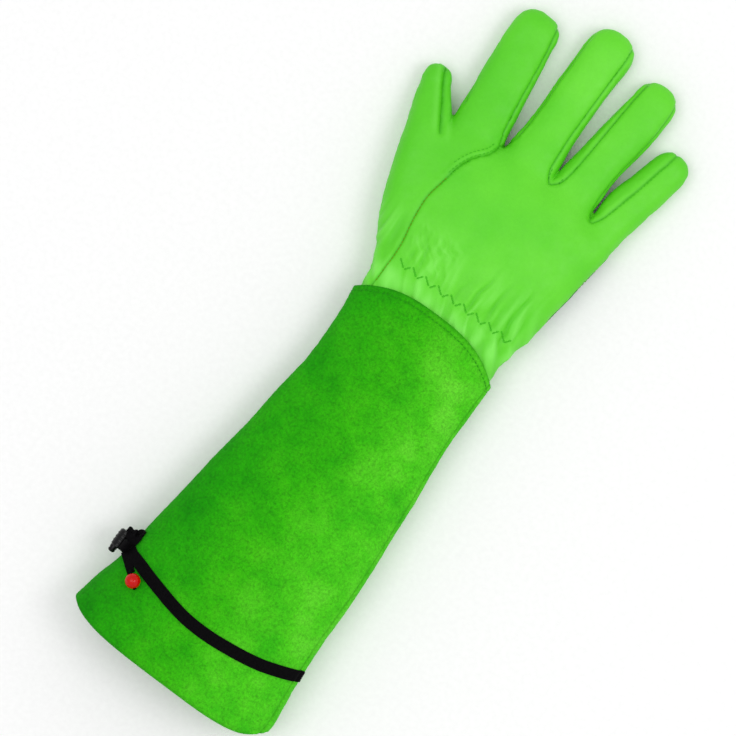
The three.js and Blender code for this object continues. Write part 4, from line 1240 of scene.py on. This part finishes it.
def build_patch():
    """Palm patch: a second skin over the palm, thin where it meets the side seam."""
    outline = curve_through(PATCH, 1.2)
    points = hand_base.copy()
    level = seam_level(points)
    snap(points, hand_normals, lambda p: polygon_side(p, outline))
    centre = points[hand_faces].mean(axis=1)
    room = level[hand_faces].mean(axis=1) - centre[:, 2]
    under = hand_normals[hand_faces].mean(axis=1)[:, 2] < 0.25
    faces = hand_faces[(polygon_side(centre, outline) < 0) & (room > 1.0) & under]
    border = open_edges(faces)
    edge = np.unique(border)
    for _ in range(4):
        points[edge] = relax(points, border, 1)[edge]
    used, number = used_by(faces, len(points))
    base, n = points[used], hand_normals[used]
    depth = PATCH_THICK * (0.12 + 0.88 * ease(0.5, 8.0, level[used] - base[:, 2]))
    d = nearest(base, points[edge])
    rounding = np.sqrt(np.clip(1 - (1 - np.clip(d / 1.1, 0, 1))**2, 0, 1))
    sewn = bump_at(d - PATCH_STITCH, 0.7)
    rise = 0.12 + depth * (0.35 + 0.65 * rounding) - 0.25 * sewn * depth + 0.05 * noise(base, 2.4, 3.7)
    outer = base + n * rise[:, None]
    outer[:, 2] = np.maximum(outer[:, 2], GROUND)
    skin = number[faces]
    # Painted shade along the sewn stitch line and on the inner face.
    painted_shading = np.concatenate([0.5 * sewn, np.full(len(used), 0.3)])
    obj = sheet("palm_patch_suede", outer, base + n * 0.1, skin, DARK, painted_shading)
    dress(obj, "palm_patch")
    line = laid(Skin(outer, skin), beside(curve_through(PATCH, 0.8), -PATCH_STITCH), DOWN)
    rings = stitch_rings(line, DOWN, 2.5, 1.8, 0.22)
    # A stitch that spans a break in the line is left out
    span = np.linalg.norm(rings[:, 4].mean(axis=1) - rings[:, 0].mean(axis=1), axis=1)
    add_thread("thread_patch", rings[span < 3], THREAD_OLIVE, "patch_suede")


build_patch()

# Band, its tongue through the lock, and its loose end
BAND_LINE = np.array([(-63.7, 41.3), (-57.6, 39.4), (-50, 37.9), (-40.2, 35.4), (-30, 33), (-20, 30.8),
                      (-10, 29.2), (0, 28.7), (10, 29), (20, 30), (30, 31.3), (40, 33.2), (50, 36.1),
                      (60, 39.5), (67, 42.3)])
BAND_WIDTH, BAND_THICK = 7.2, 1.2
LOCK = np.array([-65.2, 41.4, 22.0])
LOCK_LENGTH, LOCK_RADIUS, LOCK_RIBS = 11.0, 4.4, 4.5
BUTTON = np.array([-66.6, 35.9, 22.0])
BUTTON_RADIUS, BUTTON_REACH, BUTTON_INSIDE = 2.2, 4.0, 3.0
SLOT_X = -62.74
BEAD_PLACE = (-45.8, 27.8)
BEAD_RADIUS, BEAD_BORE = 4.4, 1.3
TAIL_WIDTH = 4.8


def on_cuff(angles, y_of):
    """Points on the cuff at angles round it, with y as a function of x, and the directions out of it."""
    y = np.full(len(angles), 33.0)
    for _ in range(6):
        y = y_of(cuff_section(y, angles)[0])
    x, z = cuff_section(y, angles)
    points = np.column_stack([x, y, z])
    xa, za = cuff_section(y, angles + 0.01)
    xb, zb = cuff_section(y, angles - 0.01)
    return points, outward_from(unit(np.column_stack([za - zb, np.zeros(len(x)), xb - xa])), points)


def strip(centre, outward, width, thick, corners=22, base=None, weave=0.07):
    """Rings of a flat woven strip with rounded edges, laid over base heights."""
    t = tangents(centre)
    side = unit(np.cross(outward, t))
    over = np.cross(t, side)
    u = np.abs(np.linspace(-1, 1, corners))
    across = np.linspace(-1, 1, corners) * np.broadcast_to(width, len(centre))[:, None] / 2
    swell = 0.5 * np.sqrt(1 - u**10)
    lift = base(centre, side, over, across) if base else np.zeros(across.shape)
    threads = weave * np.sin(across / 0.45 * math.pi) * np.cos(lengths(centre)[:, None] / 0.55 * math.pi)
    selvedge = 0.12 * ((u > 0.78) & (u < 0.97))
    faces = []
    for height in (lift + thick * (0.5 + swell) + threads + selvedge, lift + thick * (0.5 - swell)):
        faces.append(centre[:, None] + side[:, None] * across[..., None] + over[:, None] * height[..., None])
    return np.concatenate([faces[0], faces[1][:, ::-1]], axis=1)


def over_cuff(limit):
    """Heights of the cuff under a strip, for the part of it where x is above a limit."""
    def heights(centre, side, over, across):
        result = np.zeros(across.shape)
        for i in np.flatnonzero(centre[:, 0] >= limit):
            for j in range(across.shape[1]):
                p = Vector(centre[i] + side[i] * across[i, j] + over[i] * 5)
                hit = cuff_skin.tree.ray_cast(p, Vector(-over[i]), 12)[0]
                if hit is not None:
                    result[i, j] = 5 - (p - hit).length
        for _ in range(3):
            result[1:-1] = (result[:-2] + result[1:-1] + result[2:]) / 3
        return result + 0.12
    return heights


def build_band():
    angles = np.linspace(0.16, math.pi - 0.47, 166)
    centre, outward = on_cuff(angles, lambda x: rows_at(BAND_LINE, x)[:, 0])
    tongue = np.array([(-61.3, 40.0, 31.6), (SLOT_X, 40.0, 27.2), (SLOT_X, 40.0, 23.0), (SLOT_X, 40.0, 15.4)])
    line = np.concatenate([centre, tongue])
    facing = np.concatenate([outward, np.tile([-1.0, 0, 0], (len(tongue), 1))])
    fine = curve_through(line, 0.26, round)
    place = lengths(line)
    at = np.linspace(0, place[-1], len(fine))
    facing = unit(np.column_stack([np.interp(at, place, facing[:, k]) for k in range(3)]))
    width = BAND_WIDTH - 1.0 * ease(place[-1] - 16, place[-1] - 11, at)
    rings = strip(fine, facing, width, BAND_THICK, base=over_cuff(-60.0))
    add_tubes("strap_band_webbing", rings[None], WEB, "webbing", "strap_band")


def build_tail():
    """The band's loose end, the cord from it and the bead on the cord."""
    middle = np.array([(-59.4, 37.0), (-56.3, 35.2), (-52.8, 32.9), (-49.0, 30.4)])
    centre = cuff_skin.onto(curve_through(plan(middle, 60.0), 0.26, round), UP, 0.0)
    outward = np.array([cuff_skin.tree.find_nearest(Vector(p))[1] for p in centre])
    outward = outward * np.sign(outward[:, 2:])
    for _ in range(6):
        outward[1:-1] = (outward[:-2] + 2 * outward[1:-1] + outward[2:]) / 4
    rings = strip(centre, unit(outward), TAIL_WIDTH, 1.0, 16, base=over_cuff(-70.0))
    add_tubes("strap_tail_webbing", rings[None], WEB, "webbing", "strap_tail")
    ground = cuff_skin.onto(plan([BEAD_PLACE], 60.0), UP, 0.0)[0]
    bead = ground + [0, 0, BEAD_RADIUS + 0.25]
    way = unit(np.array([*(BEAD_PLACE - middle[-1]), 0.35]))
    start = centre[-6] + [0, 0, 0.8]
    stops = [start, bead - way * (BEAD_RADIUS + 0.3), bead - way * 2, bead + way * (BEAD_RADIUS + 0.7)]
    line = curve_through(stops, 0.3, round)
    radii = 1.0 + 0.05 * np.sin(np.arange(len(line)) * 1.7)
    radii[-2:] *= [0.85, 0.5]
    add_tubes("strap_tail_cord", round_tube(line, radii)[None], WEB, "webbing")
    build_bead(bead, way)


def build_bead(centre, way):
    inner = math.asin((BEAD_BORE + 0.35) / BEAD_RADIUS)
    outside = [(BEAD_RADIUS * math.sin(a), -BEAD_RADIUS * math.cos(a))
               for a in np.linspace(inner, math.pi - inner, 40)]
    end = BEAD_RADIUS * math.cos(inner)
    lip = [(BEAD_BORE + 0.12, end + 0.1), (BEAD_BORE, end - 0.25)]
    bore = [(BEAD_BORE, h) for h in np.linspace(end - 0.5, -end + 0.5, 6)]
    lip_back = [(r, -h) for r, h in reversed(lip)]
    loop = turned(centre, way, outside + lip + bore + lip_back, 48)
    faces = ring_faces(len(loop), 48, closed=True)
    points = loop.reshape(-1, 3)
    if volume_sign(points, faces, centre) < 0:
        faces = faces[:, ::-1]
    dress(mesh_object("bead_red", points, [faces], RED), "bead")


def cut(obj, *cutters):
    for cutter in cutters:
        change = obj.modifiers.new("cut", "BOOLEAN")
        change.operation = "DIFFERENCE"
        change.solver = "EXACT"
        change.object = cutter
    made = bpy.data.meshes.new_from_object(obj.evaluated_get(bpy.context.evaluated_depsgraph_get()))
    obj.modifiers.clear()
    obj.data = made
    for cutter in cutters:
        bpy.data.objects.remove(cutter)


def box_rings(low, high, bevel):
    """Rings of a block with eased corners, along z."""
    (x0, y0, z0), (x1, y1, z1), k = low, high, bevel
    rows = []
    for z, inset in ((z0, k), (z0 + k, 0), (z1 - k, 0), (z1, k)):
        a, b, c, d = x0 + inset, x1 - inset, y0 + inset, y1 - inset
        rows.append([(a + k, c, z), (b - k, c, z), (b, c + k, z), (b, d - k, z), (b - k, d, z), (a + k, d, z),
                     (a, d - k, z), (a, c + k, z)])
    return np.array(rows)


ALONG = (0, 1, 0)
LOCK_LOOP = [(-65.2, 45.2, 18.6), (-65.0, 47.2, 18.4), (-64.9, 48.0, 19.2), (-64.9, 48.1, 22.0),
             (-64.9, 48.0, 24.8), (-65.0, 47.2, 25.6), (-65.2, 45.2, 25.4)]


def build_lock():
    """Ribbed barrel with a bore for the plunger and a slot for the band, its loop, and the plunger."""
    half = LOCK_LENGTH / 2
    profile = [(LOCK_RADIUS * 0.5, -half)]
    for h in np.linspace(-1, 1, 49):
        rib = max(0.0, math.cos(h * LOCK_RIBS * math.pi)) if abs(h) < 0.9 else 0
        profile.append((LOCK_RADIUS * (0.93 - 0.16 * abs(h)**6) + 0.3 * rib**0.6, h * half))
    profile.append((LOCK_RADIUS * 0.5, half))
    body = add_tubes("cord_lock_barrel", turned(LOCK, ALONG, profile, 56)[None], PLASTIC)
    bore = add_tubes("bore", turned(BUTTON, ALONG, [(2.5, -2), (2.5, 0), (2.5, 6.3)], 32)[None], PLASTIC)
    block = box_rings((SLOT_X - 0.85, 36.7, 10), (SLOT_X + 0.85, 43.3, 34), 0.3)
    cut(body, bore, add_tubes("slot", block[None], PLASTIC))
    body.data.set_sharp_from_angle(angle=math.radians(38))
    dress(body, "cord_lock_body")
    loop = round_tube(curve_through(LOCK_LOOP, 0.4, round), 0.5, (1, 0, 0))
    add_tubes("cord_lock_loop", loop[None], PLASTIC, "lock_plastic")
    tip = -BUTTON_REACH
    profile = [(0.4, tip), (1.2, tip + 0.1), (1.75, tip + 0.5), (2.05, tip + 1.1), (2.15, -2.3), (1.85, -2.1),
               (1.85, -1.7), (2.15, -1.5), (BUTTON_RADIUS, -0.8), (BUTTON_RADIUS, 1.0),
               (BUTTON_RADIUS, BUTTON_INSIDE)]
    button = add_tubes("cord_lock_plunger", turned(BUTTON, ALONG, profile)[None], PLASTIC, "lock_plastic",
                       "cord_lock_button", "plunger")
    button.data.set_sharp_from_angle(angle=math.radians(50))


# Tape that ties the lock's loop to the cuff: place, facing and width. The first two lie on the cuff
ANCHOR = np.array([
    [-56.4, 48.3, 0, -0.60, 0, 0.80, 10.6],
    [-58.2, 48.3, 0, -0.80, 0, 0.60, 10.2],
    [-60.2, 46.9, 28.8, -0.62, 0.05, 0.78, 9.6],
    [-62.2, 47.2, 26.2, -0.45, 0.50, 0.74, 6.6],
    [-64.2, 48.5, 23.4, -0.15, 0.95, 0.28, 4.2],
    [-65.5, 48.3, 22.0, -1, 0, 0, 4.0],
    [-64.9, 47.5, 21.6, 0, -1, 0, 4.0],
    [-62.4, 47.4, 20.6, 0.20, -0.90, -0.30, 4.4],
    [-60.2, 47.8, 19.4, 0.60, -0.40, -0.60, 5.0],
    [-58.6, 48.0, 18.6, 0.90, 0, -0.30, 5.6],
])


def build_anchor():
    rows = ANCHOR.copy()
    rows[:2, 2] = cuff_skin.onto(plan(rows[:2], 60.0), UP, 0.0)[:, 2] + 0.3
    along = lengths(rows[:, :3])
    fine = rows_at(np.column_stack([along, rows]), np.linspace(0, along[-1], 130))
    rings = strip(fine[:, :3], unit(fine[:, 3:6]), fine[:, 6], 0.75, 20, weave=0.05)
    add_tubes("strap_anchor_tape", rings[None], WEB, "webbing", "strap_anchor")


build_band()
build_tail()
build_lock()
build_anchor()


# Stage, light and camera. Lengths from here on are metres
FLOOR_HALF = 1.6
LAMPS = (("key", (1.3, 0.9, 2.4), 16.0, 1.2), ("top", (-0.7, -0.1, 2.6), 18.0, 1.8))
CAMERA_AIM = Vector((-0.0121, 0.2036, 0.020))
CAMERA_HEIGHT = 2.4
CAMERA_TURN = 37
PICTURE_WIDTH = 0.4195


def stage():
    m, tree, shader = node_material("floor_paper")
    n = Nodes(tree)
    n.put(shader.inputs["Base Color"], n.ramp(n.noise(3.0, 2.0), (0.3, 0.9), (0.7, 0.93)))
    shader.inputs["Roughness"].default_value = 0.9
    shader.inputs["Specular IOR Level"].default_value = 0.1
    corners = np.array([[-1, -1, 0], [1, -1, 0], [1, 1, 0], [-1, 1, 0]]) * FLOOR_HALF / MM
    corners[:, 2] = -0.05
    mesh_object("floor", corners, [np.array([[0, 1, 2, 3]])], m, smooth=False)
    scene = bpy.context.scene
    scene.world = bpy.data.worlds.new("studio")
    scene.world.use_nodes = True
    background = scene.world.node_tree.nodes["Background"]
    background.inputs[0].default_value = (1, 1, 1, 1)
    background.inputs[1].default_value = 0.73
    for name, place, energy, size in LAMPS:
        lamp = bpy.data.lights.new(name, "AREA")
        lamp.energy = energy
        lamp.size = size
        obj = bpy.data.objects.new(name, lamp)
        obj.location = place
        obj.rotation_mode = "QUATERNION"
        obj.rotation_quaternion = (Vector((0, 0.2, 0)) - Vector(place)).to_track_quat("-Z", "Y")
        scene.collection.objects.link(obj)
    scene.view_settings.view_transform = "Standard"
    scene.view_settings.look = "None"


def camera():
    """A long lens straight above the glove, turned as the photograph is."""
    data = bpy.data.cameras.new("camera")
    data.sensor_width = 36
    data.lens = data.sensor_width * CAMERA_HEIGHT / PICTURE_WIDTH
    data.clip_start, data.clip_end = 0.05, 20
    obj = bpy.data.objects.new("camera", data)
    obj.location = CAMERA_AIM + Vector((0, 0, CAMERA_HEIGHT))
    obj.rotation_euler = (0, 0, math.radians(CAMERA_TURN))
    bpy.context.scene.collection.objects.link(obj)
    bpy.context.scene.camera = obj


stage()
camera()
